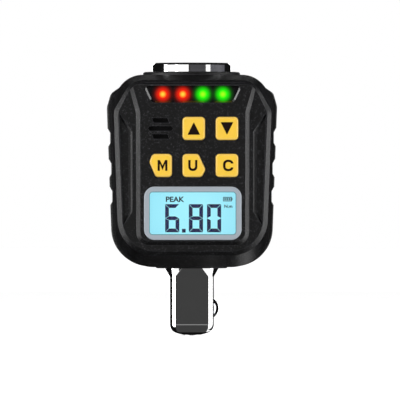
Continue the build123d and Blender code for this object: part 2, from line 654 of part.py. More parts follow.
def key_outline(name, grow=0.0):
    """Face of one key, drawn about its own centre."""
    shapes = {"mode_key": MODE_SHAPE, "unit_key": UNIT_SHAPE}
    face = Rectangle(KEY_W, KEY_H)
    if name in shapes:
        corners = [(x * KEY_W / 2, z * KEY_H / 2) for x, z in shapes[name]]
        face = make_face(Polyline(*corners, corners[0]))
    face = fillet(face.vertices(), KEY_R)
    return offset(face, amount=grow) if grow else face


def key_place(name):
    """Centre of a key on the face."""
    column, z = KEYS[name]
    return KEY_CENTRE_X + column * KEY_PITCH, z


def make_key(name):
    """Hard key cap with a flange behind the front wall."""
    spot = Pos(*key_place(name))
    flange_front = INNER_Y + KEY_SLIP
    cap = slab(spot * key_outline(name), FRONT_Y - KEY_PROUD, flange_front)
    cap = chamfer(cap.faces().sort_by(Axis.Y)[0].edges(), KEY_EDGE)
    return cap + slab(spot * key_outline(name, KEY_FLANGE), flange_front, flange_front + KEY_FLANGE_T)


def lens_outline(rim=0.0):
    """Trapezoid of the indicator window."""
    points, radii = mirrored([(x, LAMP_Z + rise, r) for x, rise, r in LENS_SHAPE])
    face = make_face(FilletPolyline(*points, radius=radii, close=True))
    return offset(face, amount=-rim) if rim else face


def sounder_slots():
    """Three slots over the sounder, the outer ones slanted and the middle one pointed."""
    cuts = []
    for row, length in zip((1, 0, -1), SLOT_LENGTHS):
        half, tall = length / 2, SLOT_H / 2
        inner = half - SLOT_SLANT
        points = [(-half, tall), (inner, tall), (half, -tall), (-inner, -tall)]
        if row == 0:
            points = [(-half, 0), (-inner, tall), (inner, tall), (half, 0), (inner, -tall), (-inner, -tall)]
        slot = make_face(Polyline(*points, points[0]))
        cuts.append(slab(Pos(SOUNDER_X, SOUNDER_Z + row * SLOT_PITCH) * slot, FRONT_Y - OVER, INNER_Y + OVER))
    return cuts


def display_rect(w, h, r, y_front, y_back):
    """Rounded plate centred on the display."""
    return slab(Pos(0, DISPLAY_Z) * RectangleRounded(w, h, r), y_front, y_back)


def screw(x, z, spec, length, seat_y):
    """Pan head screw driven from the back, with a cross slot."""
    shank_d, head_d, head_h = spec
    top = seat_y + head_h
    head = rod_y(x, z, head_d, seat_y, top)
    long, wide = head_d * CROSS_SHARE / 2, CROSS_W / 2
    for w, h in ((long, wide), (wide, long)):
        head -= box(x - w, x + w, top - CROSS_DEPTH, top + OVER, z - h, z + h)
    return head + rod_y(x, z, shank_d, seat_y - length, seat_y)


def gasket_ring(extra=0.0):
    """Seal strip in the parting plane, broken where the shaft passes."""
    outer = outline(BODY_SHAPE, GASKET_INSET - extra)
    inner = outline(BODY_SHAPE, GASKET_INSET + GASKET_W + extra)
    ring = slab(outer - inner, -SEAL_T - extra, SEAL_T + extra)
    return ring - column_z(UPPER_BLOCK_D + OVER - 2 * extra, 0, FAR)


def neck_ring():
    """Low ring on the housing round the head, rounded outside."""
    ring = ring_z(NECK_RING_D, HEAD_D, HOUSING_TOP - OVER, NECK_RING_TOP)
    rim = ring.faces().sort_by(Axis.Z)[-1].outer_wire().edges()
    return fillet(rim, NECK_RING_EDGE)


def make_front_shell():
    """Front half with openings for keys, display, indicators and sounder."""
    body = front_body()
    shell = body - front_hollow()
    front_half = box(-FAR, FAR, -FAR, 0, 0, FAR)
    shell += (shaft_blocks() & front_half) & body
    for x, z in both_sides(placed(CASE_SCREW_AT)):
        shell += rod_y(x, z, FRONT_BOSS_D, CAVITY_FRONT_Y - FUSE, 0) & body
    for x, z in both_sides(placed(BOARD_SCREW_AT)):
        shell += rod_y(x, z, BOARD_POST_D, CAVITY_FRONT_Y - FUSE, BOARD_Y) & body
    shell += neck_ring() & front_half
    shell -= shaft_space()
    for x, z in both_sides(placed(CASE_SCREW_AT)):
        tip = CASE_SEAT_Y - CASE_SCREW_L - FREE_CLEAR
        shell -= rod_y(x, z, CASE_SCREW[0] + 2 * RUN_CLEAR, tip, OVER)
    for x, z in both_sides(placed(BOARD_SCREW_AT)):
        tip = BOARD_BACK_Y - BOARD_SCREW_L - FREE_CLEAR
        shell -= rod_y(x, z, BOARD_SCREW[0] + 2 * RUN_CLEAR, tip, BOARD_Y + OVER)
    shell -= gasket_ring(RUN_CLEAR)
    channel = grip_space()
    shell -= channel
    shell -= mirror(channel, Plane.YZ)
    for name in KEYS:
        shell -= slab(Pos(*key_place(name)) * key_outline(name, KEY_CLEAR), FRONT_Y - OVER, INNER_Y + OVER)
    shell -= display_rect(BEZEL_W, BEZEL_H, BEZEL_R, FRONT_Y - OVER, SEAT_Y)
    shell -= display_rect(SCREEN_W, SCREEN_H, SCREEN_R, FRONT_Y - OVER, INNER_Y + OVER)
    shell -= slab(lens_outline(), FRONT_Y - OVER, SEAT_Y)
    shell -= slab(lens_outline(LENS_RIM), FRONT_Y - OVER, INNER_Y + OVER)
    for cut in sounder_slots():
        shell -= cut
    return shell


def bay_space():
    """Hollow for the two cells, kept clear of the upper block."""
    space = box(-BAY_HALF, BAY_HALF, BAY_FLOOR_Y, BACK_Y + OVER, BAY_BOTTOM, BAY_TOP)
    return space - column_z(UPPER_BLOCK_D, UPPER_BLOCK_LOW, FAR)


def tab_slots():
    """Slots for the solder tabs of the two lower contact plates."""
    half = TAB_W / 2 + TAB_CLEAR
    return [box(side * TAB_X - half, side * TAB_X + half, BAY_FLOOR_Y - BAY_WALL - OVER, BAY_FLOOR_Y + OVER,
                BAY_BOTTOM, BAY_BOTTOM + PLATE_T + TAB_CLEAR) for side in (-1, 1)]


def cover_outline(grow=0.0):
    """Battery cover with its two screw ears."""
    height = BAY_TOP - BAY_BOTTOM + 2 * COVER_LIP
    plate = Pos(0, EAR_Z) * RectangleRounded(2 * COVER_HALF, height, COVER_R)
    ears = Pos(0, EAR_Z) * RectangleRounded(2 * (EAR_X + EAR_REACH), 2 * EAR_HALF, COVER_R)
    face = plate + ears
    return offset(face, amount=grow) if grow else face


def cover_groove(extra=0.0):
    """Groove round the battery bay that holds the cover's seal."""
    span = BAY_TOP - BAY_BOTTOM
    half = COVER_HALF - COVER_SEAL_INSET + extra
    height = span + 2 * (COVER_LIP - COVER_SEAL_END + extra)
    outer = Pos(0, EAR_Z) * RectangleRounded(2 * half, height, COVER_SEAL_R)
    return outer - Pos(0, EAR_Z) * Rectangle(2 * BAY_HALF, span)


def make_rear_shell():
    """Rear half with the battery bay."""
    body = rear_body()
    shell = body - slab(BODY_INNER, -OVER, CAVITY_BACK_Y)
    rear_half = box(-FAR, FAR, 0, FAR, 0, FAR)
    side = BAY_HALF + BAY_SIDE_WALL
    bay_block = box(-side, side, BAY_FLOOR_Y - BAY_WALL, BACK_Y, HOUSING_BOTTOM + OVER, HOUSING_TOP - OVER)
    shell += (bay_block + (shaft_blocks() & rear_half)) & body
    for x, z in both_sides(placed(CASE_SCREW_AT)):
        shell += rod_y(x, z, CASE_BOSS_D, 0, CAVITY_BACK_Y + FUSE) & body
    for x, z in both_sides([(EAR_X, EAR_Z)]):
        shell += rod_y(x, z, EAR_BOSS_D, COVER_Y - COVER_SCREW_L - EAR_BOSS_END, CAVITY_BACK_Y + FUSE)
    shell += neck_ring() & rear_half
    shell -= shaft_space()
    shell -= bay_space()
    shell -= slab(cover_outline(COVER_CLEAR), COVER_Y, BACK_Y + OVER)
    shell -= slab(cover_groove(RUN_CLEAR), COVER_Y - SEAL_T - RUN_CLEAR, COVER_Y + FUSE)
    for slot in tab_slots():
        shell -= slot
    for x, z in both_sides(placed(CASE_SCREW_AT)):
        shell -= rod_y(x, z, CASE_SCREW[0] + CASE_HOLE_PLAY, -OVER, CASE_SEAT_Y + OVER)
        shell -= rod_y(x, z, CASE_SCREW[1] + CASE_BORE_PLAY, CASE_SEAT_Y, BACK_Y + OVER)
    for x, z in both_sides([(EAR_X, EAR_Z)]):
        tip = COVER_Y - COVER_SCREW_L - FREE_CLEAR
        shell -= rod_y(x, z, COVER_SCREW[0] + 2 * RUN_CLEAR, tip, BACK_Y)
    shell -= gasket_ring(RUN_CLEAR)
    channel = grip_space()
    shell -= channel
    shell -= mirror(channel, Plane.YZ)
    return shell


def cover_screw_seat():
    """Floor of the counterbores in the cover's ears."""
    return BACK_Y - COVER_HEAD_SINK - COVER_SCREW[2]


def make_cover():
    """Battery cover with counterbores for its two screws."""
    cover = slab(cover_outline(), COVER_Y, BACK_Y)
    cover = chamfer(cover.faces().sort_by(Axis.Y)[-1].edges(), COVER_EDGE)
    for x, z in both_sides([(EAR_X, EAR_Z)]):
        cover -= rod_y(x, z, COVER_SCREW[0] + 2 * TAB_CLEAR, COVER_Y - OVER, BACK_Y + OVER)
        cover -= rod_y(x, z, COVER_SCREW[1] + HEAD_BORE_PLAY, cover_screw_seat(), BACK_Y + OVER)
    return cover


def make_cell(x, nub_up):
    """One cylindrical cell; the nub end touches its plate, the other leaves room for a spring."""
    if nub_up:
        low = BAY_TOP - PLATE_T - CELL_L
        nub_low, body_low = low + CELL_L - CELL_NUB_H, low
    else:
        nub_low = BAY_BOTTOM + PLATE_T
        body_low = nub_low + CELL_NUB_H
    body = column_z(CELL_D, body_low, body_low + CELL_L - CELL_NUB_H)
    return Pos(x, CELL_Y) * (body + column_z(CELL_NUB_D, nub_low, nub_low + CELL_NUB_H))


def plate(x0, x1, z):
    """Contact plate across one end of the bay."""
    return box(x0, x1, CELL_Y - CELL_D / 2 + PLATE_FRONT, CELL_Y + CELL_D / 2 - PLATE_BACK, z, z + PLATE_T)


def make_contact_plates():
    """Upper bridge and two lower plates with solder tabs."""
    reach = CELL_X + CELL_D / 2 - PLATE_SIDE
    plates = [plate(-reach, reach, BAY_TOP - PLATE_T)]
    for side in (-1, 1):
        x0, x1 = sorted((side * PLATE_SPLIT, side * reach))
        tab = box(side * TAB_X - TAB_W / 2, side * TAB_X + TAB_W / 2, BAY_FLOOR_Y - BAY_WALL - TAB_OUT,
                  CELL_Y, BAY_BOTTOM, BAY_BOTTOM + PLATE_T)
        plates.append(plate(x0, x1, BAY_BOTTOM) + tab)
    return plates


def make_cell_springs():
    """Spring under the left cell and above the right one."""
    spring = coil(CELL_SPRING_D, CELL_SPRING_WIRE, SPRING_ROOM - 2 * RUN_CLEAR, CELL_SPRING_TURNS)
    low = BAY_BOTTOM + PLATE_T + RUN_CLEAR
    high = BAY_TOP - PLATE_T - SPRING_ROOM + RUN_CLEAR
    return [Pos(-CELL_X, CELL_Y, low) * spring, Pos(CELL_X, CELL_Y, high) * spring]


def wire(points, radii):
    """Insulated wire along straight runs joined by arcs."""
    path = FilletPolyline(*points, radius=radii)
    start = Plane(origin=path @ 0, z_dir=path % 0)
    return sweep(start * Circle(WIRE_D / 2), path=path)


def make_battery_wires():
    """Two leads from the lower plates round the shaft to the board."""
    z0 = BAY_BOTTOM + PLATE_T
    y0 = BAY_FLOOR_Y - BAY_WALL - LEAD_SEAT
    z1, z2 = z0 + LEAD_RISE, z0 + LEAD_RISE + LEAD_STEP
    leads = []
    for side in (-1, 1):
        far = side * (HALF_WIDTH - LEAD_INSET)
        leads.append(wire([(side * TAB_X, y0, z0), (side * TAB_X, y0, z1), (far, LEAD_Y, z2),
                           (far, BOARD_BACK_Y, z2)], [LEAD_BEND, LEAD_BEND]))
    return leads


def make_gauge_wires():
    """Two short leads at the front gauge and two that pass round the shaft."""
    face = GAUGE_FLAT / 2 + GAUGE_T
    z_start = GAUGE_Z + GAUGE_LEAD_RISE
    z_end = GAUGE_Z + GAUGE_H / 2 + GAUGE_LEAD_RISE
    around = GAUGE_D / 2 + AROUND_SIDE
    leads = []
    for side in (-1, 1):
        x = side * GAUGE_W / 4
        leads.append(wire([(x, -face, z_start), (x, -face - GAUGE_LEAD_OUT, z_start),
                           (x, -face - GAUGE_LEAD_BOW, z_end), (x, BOARD_BACK_Y, z_end)], GAUGE_LEAD_BENDS))
        leads.append(wire([(x, face, GAUGE_Z), (x, face + AROUND_OUT, GAUGE_Z),
                           (side * around, face + AROUND_OUT, GAUGE_Z),
                           (side * around, BOARD_BACK_Y, GAUGE_Z)], AROUND_BENDS))
    return leads


def make_board():
    """Main circuit board, notched round the case bosses."""
    board = slab(outline(RIM_SHAPE, BOARD_INSET), BOARD_Y, BOARD_BACK_Y)
    board = board & box(-FAR, FAR, -FAR, FAR, HOUSING_BOTTOM + BOARD_RISE, HOUSING_TOP - BOARD_DROP)
    for x, z in both_sides(placed(CASE_SCREW_AT)):
        board -= rod_y(x, z, CASE_BOSS_D, BOARD_Y - OVER, BOARD_BACK_Y + OVER)
    for x, z in both_sides(placed(BOARD_SCREW_AT)):
        board -= rod_y(x, z, BOARD_SCREW[0] + 2 * TAB_CLEAR, BOARD_Y - OVER, BOARD_BACK_Y + OVER)
    return board


def make_mat():
    """Silicone key mat: a sheet on a rim, with a bump and a nub for each key."""
    middle = Pos(KEY_CENTRE_X, (LOWER_ROW_Z + UPPER_ROW_Z) / 2)
    width = 2 * (KEY_PITCH + MAT_MARGIN)
    height = UPPER_ROW_Z - LOWER_ROW_Z + 2 * MAT_MARGIN
    sheet_back = BOARD_Y - DOME_T - MAT_LIFT
    sheet_front = sheet_back - MAT_T
    mat = slab(middle * RectangleRounded(width, height, MAT_R), sheet_front, BOARD_Y)
    mat -= slab(middle * Rectangle(width - 2 * MAT_RIM, height - 2 * MAT_RIM), sheet_back, BOARD_Y + OVER)
    bump_front = INNER_Y + KEY_SLIP + KEY_FLANGE_T + KEY_TRAVEL + MAT_GAP
    for name in KEYS:
        x, z = key_place(name)
        mat += rod_y(x, z, BUMP_D, bump_front, sheet_back)
        mat += rod_y(x, z, NUB_D, sheet_front, BOARD_Y - DOME_T - NUB_CLEAR)
    half = SOUNDER_D / 2 + FUSE
    mat -= rod_y(SOUNDER_X, SOUNDER_Z, 2 * half, INNER_Y, 0)
    mat -= box(-FAR, SOUNDER_X, INNER_Y, 0, SOUNDER_Z - half, FAR)
    return mat


def make_lamps(columns):
    """Round indicator lamps standing on the board."""
    lamps = []
    middle = SEAT_Y + LAMP_GAP + LAMP_D / 2
    for column in columns:
        x = column * LAMP_PITCH
        lamps.append(rod_y(x, LAMP_Z, LAMP_D, middle, BOARD_Y) + Pos(x, middle, LAMP_Z) * Sphere(LAMP_D / 2))
    return lamps


def write_shaft_parts():
    """Shaft, detent, gauges and what carries the shaft."""
    save("torque_shaft", make_shaft())
    save("detent_ball", Pos(BALL_CENTRE_X, 0, BALL_Z) * Sphere(BALL_D / 2))
    save("detent_spring", make_ball_spring())
    flat = GAUGE_FLAT / 2
    z0, z1 = GAUGE_Z - GAUGE_H / 2, GAUGE_Z + GAUGE_H / 2
    save("strain_gauges",
         box(-GAUGE_W / 2, GAUGE_W / 2, -flat - GAUGE_T, -flat, z0, z1),
         box(-GAUGE_W / 2, GAUGE_W / 2, flat, flat + GAUGE_T, z0, z1))
    save("gauge_wires", *make_gauge_wires())
    save("lower_bush", ring_z(BUSH_D, BUSH_IN_D, JOURNAL_Z, BUSH_TOP))
    save("retaining_ring", make_retaining_ring())
    save("lower_seal", make_lower_seal())
    save("upper_seal", ring_z(UPPER_SEAL_D, UPPER_SEAL_IN_D, UPPER_SEAL_Z, UPPER_SEAL_Z + UPPER_SEAL_H))
    save("locating_pin", pin_bar())


def write_housing_parts():
    """Shells, grips, gasket and case screws."""
    save("front_shell", make_front_shell())
    save("rear_shell", make_rear_shell())
    grip = make_grip()
    save("right_grip", grip)
    save("left_grip", mirror(grip, Plane.YZ))
    save("shell_gasket", *gasket_ring().solids())
    save("case_screws", *[screw(x, z, CASE_SCREW, CASE_SCREW_L, CASE_SEAT_Y)
                          for x, z in both_sides(placed(CASE_SCREW_AT))])


def write_face_parts():
    """Display, keys and indicators."""
    bezel = display_rect(BEZEL_W, BEZEL_H, BEZEL_R, FRONT_Y - BEZEL_PROUD, SEAT_Y)
    bezel = chamfer(bezel.faces().sort_by(Axis.Y)[0].edges(), BEZEL_EDGE)
    bezel -= display_rect(SCREEN_W, SCREEN_H, SCREEN_R, FRONT_Y - OVER, SEAT_Y + OVER)
    room = WINDOW_R + RUN_CLEAR
    window_y = SEAT_Y - WINDOW_T
    bezel -= display_rect(WINDOW_W + 2 * RUN_CLEAR, WINDOW_H + 2 * RUN_CLEAR, room,
                          window_y - RUN_CLEAR, SEAT_Y + OVER)
    save("display_bezel", bezel)
    save("display_window", display_rect(WINDOW_W, WINDOW_H, WINDOW_R, window_y, SEAT_Y))
    lcd_back = INNER_Y + LCD_T
    save("lcd_panel", display_rect(LCD_W, LCD_H, LCD_R, INNER_Y, lcd_back))
    save("lcd_backlight", display_rect(SCREEN_W, BACKLIGHT_H, LCD_R, lcd_back, BOARD_Y))
    strip_low = BACKLIGHT_H / 2 + FREE_CLEAR
    strips = []
    for side in (-1, 1):
        z0, z1 = sorted((DISPLAY_Z + side * strip_low, DISPLAY_Z + side * (strip_low + STRIP_T)))
        strips.append(box(-SCREEN_W / 2, SCREEN_W / 2, lcd_back, BOARD_Y, z0, z1))
    save("contact_strips", *strips)
    lens = slab(lens_outline(), FRONT_Y - LENS_PROUD, SEAT_Y)
    lens = chamfer(lens.faces().sort_by(Axis.Y)[0].edges(), LENS_EDGE)
    save("indicator_window", lens)
    save("red_lamps", *make_lamps((-1.5, -0.5)))
    save("green_lamps", *make_lamps((0.5, 1.5)))
    for name in KEYS:
        save(name, make_key(name))
    save("keypad_mat", make_mat())


def chip_at(x, z, w, h):
    """Flat chip on the back of the board."""
    return box(x - w / 2, x + w / 2, BOARD_BACK_Y, BOARD_BACK_Y + CHIP_T, z - h / 2, z + h / 2)


def write_board_parts():
    """Circuit board and what is soldered or screwed to it."""
    save("main_board", make_board())
    save("controller_chip", chip_at(0, DISPLAY_Z - CHIP_DROP, CHIP_SQUARE, CHIP_SQUARE))
    save("amplifier_chip", chip_at(AMP_X, HEAD_Z - AMP_DROP, AMP_W, AMP_H))
    save("key_domes", *[rod_y(*key_place(name), DOME_D, BOARD_Y - DOME_T, BOARD_Y) for name in KEYS])
    save("sounder", rod_y(SOUNDER_X, SOUNDER_Z, SOUNDER_D, BOARD_Y - SOUNDER_H, BOARD_Y))
    save("board_screws", *[screw(x, z, BOARD_SCREW, BOARD_SCREW_L, BOARD_BACK_Y)
                           for x, z in both_sides(placed(BOARD_SCREW_AT))])


def write_battery_parts():
    """Cells, contacts, wires and cover."""
    save("left_cell", make_cell(-CELL_X, True))
    save("right_cell", make_cell(CELL_X, False))
    save("cell_springs", *make_cell_springs())
    save("contact_plates", *make_contact_plates())
    save("battery_wires", *make_battery_wires())
    save("battery_cover", make_cover())
    save("cover_seal", slab(cover_groove(), COVER_Y - SEAL_T, COVER_Y - RUN_CLEAR))
    save("cover_screws", *[screw(x, z, COVER_SCREW, COVER_SCREW_L, cover_screw_seat())
                           for x, z in both_sides([(EAR_X, EAR_Z)])])


os.makedirs("parts", exist_ok=True)
write_shaft_parts()
write_housing_parts()
write_face_parts()
write_board_parts()
write_battery_parts()
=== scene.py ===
"""Digital torque adapter: finishes, lit display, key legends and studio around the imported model.

Lengths are in metres, +Z runs up the torque axis, and the display faces -Y.
"""

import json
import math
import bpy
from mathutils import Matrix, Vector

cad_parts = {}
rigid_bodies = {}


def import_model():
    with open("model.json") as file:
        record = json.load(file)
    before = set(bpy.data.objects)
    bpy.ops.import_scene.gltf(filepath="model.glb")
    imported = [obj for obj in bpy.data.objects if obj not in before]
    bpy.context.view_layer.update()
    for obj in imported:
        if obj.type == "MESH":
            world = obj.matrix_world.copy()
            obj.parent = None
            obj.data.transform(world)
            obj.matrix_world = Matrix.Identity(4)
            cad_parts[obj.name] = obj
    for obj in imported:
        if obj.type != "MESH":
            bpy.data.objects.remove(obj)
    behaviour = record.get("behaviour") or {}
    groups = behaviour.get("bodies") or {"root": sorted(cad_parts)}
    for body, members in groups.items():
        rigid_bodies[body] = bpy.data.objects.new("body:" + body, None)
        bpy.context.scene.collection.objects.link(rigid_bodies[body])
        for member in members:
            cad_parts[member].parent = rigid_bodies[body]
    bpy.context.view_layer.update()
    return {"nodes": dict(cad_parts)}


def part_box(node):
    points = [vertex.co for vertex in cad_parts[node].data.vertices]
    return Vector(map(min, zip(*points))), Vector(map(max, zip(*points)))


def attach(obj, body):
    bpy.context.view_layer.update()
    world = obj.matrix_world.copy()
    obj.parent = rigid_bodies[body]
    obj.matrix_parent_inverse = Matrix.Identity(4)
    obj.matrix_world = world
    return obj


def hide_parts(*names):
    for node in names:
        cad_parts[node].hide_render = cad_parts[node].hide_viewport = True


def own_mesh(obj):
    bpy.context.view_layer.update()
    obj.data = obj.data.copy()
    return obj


bl_info = {
    "name": "Digital Torque Adapter",
    "version": (1, 0, 0),
    "blender": (4, 5, 0),
    "location": "View3D > Sidebar > Torque Adapter",
    "description": "Finishes, lit display, key legends and studio for a digital torque adapter",
    "category": "Object",
}

import bmesh
import bpy
from bpy.props import FloatProperty, FloatVectorProperty, PointerProperty, StringProperty
from mathutils import Vector

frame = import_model()
MM = 0.001
# Corners of a mesh that are nearer than this count as one.
SAME_PLACE = 0.001 * MM
# Steps of a letter's curve and of a sign's rounded corner.
LETTER_STEPS, CORNER_STEPS = 6, 4
# The lit ground in millimetres: half its size, its corners' radius and the line round it.
SCREEN_HALF, SCREEN_R = (12.5, 6.2), 1.0
FRAME_LINE = 0.2
# Samples for an edge, and how well the rounded and the true normal agree on a plain surface and
# at a sharp edge.
EDGE_SAMPLES, EDGE_AGREE = 6, (0.995, 0.93)
# Where the grit's painted glints begin and where they are brightest, as shares of the noise.
GLINT_RANGE = (0.57, 0.7)
# Foot and top of a rubber dot, as shares of the pitch.
DOT_RANGE = (0.36, 0.2)
# Widths in millimetres: the plastic's faint patches, the rubber's dust, the seals' bloom, the
# clouds in the lamps' epoxy and in the keys, and the lines of a gauge's foil.
PATCH_WIDTH, DUST_WIDTH, BLOOM_WIDTH = 9, 0.25, 1.5
EPOXY_WIDTH, KEY_WIDTH, GRID_LINE = 1.2, 2.5, 0.4
# In millimetres too: the edge of a key that catches the light, the pitch of the board's tracks,
# and where the backlight begins to fade and where it has faded, from the display's middle.
KEY_EDGE, TRACK_PITCH = 0.45, 1
FADE_RANGE = (5, 15)
# Height on a cell where its copper tone begins, as a share of the cell.
COPPER_FROM = 0.68
KEY_BODIES = {
    "up_key": "up_button",
    "down_key": "down_button",
    "mode_key": "mode_button",
    "unit_key": "unit_button",
    "clear_key": "clear_button",
}


def linear(code):
    """An sRGB colour written as #RRGGBB, as the linear values that Blender works in."""
    channels = [int(code[i : i + 2], 16) / 255 for i in (1, 3, 5)]
    return tuple(
        c / 12.92 if c <= 0.04045 else ((c + 0.055) / 1.055) ** 2.4 for c in channels
    ) + (1.0,)


def darker(tone, part):
    """A tone with its brightness cut down to the part."""
    return tuple(part * c for c in tone[:3]) + (1.0,)


# Properties


def colour(name, code, description):
    return FloatVectorProperty(
        name=name,
        description=description,
        subtype="COLOR",
        size=4,
        min=0.0,
        max=1.0,
        default=linear(code),
    )


def length(name, millimetres, description):
    return FloatProperty(
        name=name,
        description=description,
        subtype="DISTANCE",
        unit="LENGTH",
        precision=5,
        default=millimetres * MM,
    )


def share(name, value, description):
    return FloatProperty(
        name=name,
        description=description,
        subtype="FACTOR",
        min=0.0,
        max=1.0,
        default=value,
    )


class HousingLook(bpy.types.PropertyGroup):
    plastic: colour("Plastic", "#050506", "Moulded plastic of the shells and the cover")
    # Painted highlight: a lighter tone on the edges for the light they catch; the edges' lower
    # roughness is their polish.
    edge_highlight: colour("Worn edge", "#3C3C40", "Where handling has polished the edges")
    rubber: colour("Rubber", "#0C0C0D", "Side grips and seals")
    grit: length("Grit", 0.42, "Width of one grain of the moulded texture")
    # How far in from an edge the painted highlight reaches.
    edge_width: length("Edge wear", 0.22, "How far the polish reaches in from an edge")
    dot_pitch: length("Dot pitch", 0.8, "Distance between the dots of the grips")


class MetalLook(bpy.types.PropertyGroup):
    chrome: colour("Chrome", "#D6D6D6", "Plated drive shaft")
    steel: colour("Steel", "#B4B6BA", "Ball, pin, springs and contacts")
    nickel: colour("Nickel", "#C4C2BC", "Screws and key domes")
    bronze: colour("Bronze", "#A9713C", "Sintered bush")
    chrome_roughness: share("Chrome roughness", 0.07, "Lower is nearer to a mirror")


class DisplayLook(bpy.types.PropertyGroup):
    trim: colour("Bezel", "#A4B0BA", "Painted frame round the display")
    lit: colour("Backlight", "#A0F0FF", "Lit ground of the display")
    frame: colour("Frame line", "#4E868E", "Line round the lit ground")
    ink: colour("Segments", "#000D56", "Digits of the reading")
    small_ink: colour("Annunciators", "#001428", "Small words and signs")
    reading: StringProperty(
        name="Reading", description="Digits and one point, up to three digits", default="6.80"
    )
    word: StringProperty(name="Mode word", description="Mode shown over the digits", default="PEAK")
    unit_word: StringProperty(name="Unit", description="Unit of the reading", default="N.m")
    digit_width: length("Digit width", 4.06, "Outside width of a digit")
    digit_height: length("Digit height", 8.05, "Outside height of a digit")
    stroke: length("Stroke", 1.07, "Width of a segment")
    gap: length("Gap", 0.1, "Gap between two segments")


class LampLook(bpy.types.PropertyGroup):
    lens: colour("Window", "#0A0909", "Smoked window over the lamps")
    red: colour("Red lamps", "#FF2200", "Light of the two warning lamps")
    green: colour("Green lamps", "#22FF00", "Light of the two pass lamps")
    glow: length("Glow radius", 2.75, "How far the light spreads in the window")
    core: length("Core radius", 1.2, "Radius of the brightest part")


class KeyLook(bpy.types.PropertyGroup):
    cap: colour("Keys", "#FDD12C", "Push keys")
    cap_edge: colour("Key edge", "#F4CE7C", "Rounded edge of a key, where the light catches it")
    print: colour("Legend", "#1E0600", "Printed sign on a key")
    arrow: length("Arrow", 3.6, "Width and height of the arrows")
    letter: length("Letter height", 3.1, "Height of the letters")
    film: length("Print", 0.03, "How far a legend stands on its key")


class StudioLook(bpy.types.PropertyGroup):
    floor: colour("Floor", "#F2F2F2", "Plain pale floor and background")
    card: colour("Card", "#161616", "Dark card that metal reflects all round")
    view_width: length("View width", 115.2, "Width of the picture at the object")
    lens: FloatProperty(
        name="Lens",
        description="Focal length in millimetres",
        subtype="DISTANCE_CAMERA",
        default=800.0,
    )
    turn: FloatProperty(
        name="Turn",
        description="How far the camera stands to the left of straight ahead",
        subtype="ANGLE",
        unit="ROTATION",
        default=math.radians(1.0),
    )


LOOKS = {
    "adapter_housing": HousingLook,
    "adapter_metal": MetalLook,
    "adapter_display": DisplayLook,
    "adapter_lamps": LampLook,
    "adapter_keys": KeyLook,
    "adapter_studio": StudioLook,
}


# Helpers for materials


def add(tree, kind, inputs=None, **settings):
    """Adds a node. Each input is a socket's name or number with a value or an output to link."""
    node = tree.nodes.new(kind)
    for name, value in settings.items():
        setattr(node, name, value)
    for key, value in (inputs or {}).items():
        if isinstance(value, bpy.types.NodeSocket):
            tree.links.new(value, node.inputs[key])
        else:
            node.inputs[key].default_value = value
    return node


def new_material(name):
    material = bpy.data.materials.new(name)
    material.use_nodes = True
    material.node_tree.nodes.clear()
    return material, material.node_tree


def patterned_material(name):
    """A new material, its tree, and the place on the object that its patterns follow."""
    material, tree = new_material(name)
    return material, tree, add(tree, "ShaderNodeTexCoord").outputs["Object"]


def finish_material(material, shader):
    add(material.node_tree, "ShaderNodeOutputMaterial", {"Surface": shader.outputs[0]})
    material.diffuse_color = shader.inputs["Base Color"].default_value
    return material


def two_tones(material, factor, first, second, roughness, ior, **more):
    """Ends a material that goes from one tone to the other by a factor."""
    tree = material.node_tree
    tones = add(
        tree, "ShaderNodeMix", {"Factor": factor, "A": first, "B": second}, data_type="RGBA"
    )
    shader = add(
        tree,
        "ShaderNodeBsdfPrincipled",
        {"Base Color": tones.outputs["Result"], "Roughness": roughness, "IOR": ior, **more},
    )
    return finish_material(material, shader)


def dress(material, *names):
    """Puts a material on CAD nodes."""
    for name in names:
        slots = frame["nodes"][name].material_slots
        if not slots:
            frame["nodes"][name].data.materials.append(material)
        for slot in slots:
            slot.material = material


def front_offset(tree, place, middle):
    """How far a place lies from the middle in X and Z, with no depth."""
    apart = add(
        tree, "ShaderNodeVectorMath", {0: place, 1: (middle.x, 0.0, middle.z)}, operation="SUBTRACT"
    )
    return add(
        tree,
        "ShaderNodeVectorMath",
        {0: apart.outputs[0], 1: (1.0, 0.0, 1.0)},
        operation="MULTIPLY",
    ).outputs[0]


def edge_mask(tree, radius):
    """0 on a plain surface, 1 where the surface turns sharply within the radius."""
    rounded = add(tree, "ShaderNodeBevel", {"Radius": radius}, samples=EDGE_SAMPLES)
    flat = add(tree, "ShaderNodeNewGeometry")
    agree = add(
        tree,
        "ShaderNodeVectorMath",
        {0: rounded.outputs[0], 1: flat.outputs["Normal"]},
        operation="DOT_PRODUCT",
    )
    return add(
        tree,
        "ShaderNodeMapRange",
        {"Value": agree.outputs["Value"], "From Min": EDGE_AGREE[0], "From Max": EDGE_AGREE[1]},
    ).outputs["Result"]


# Materials


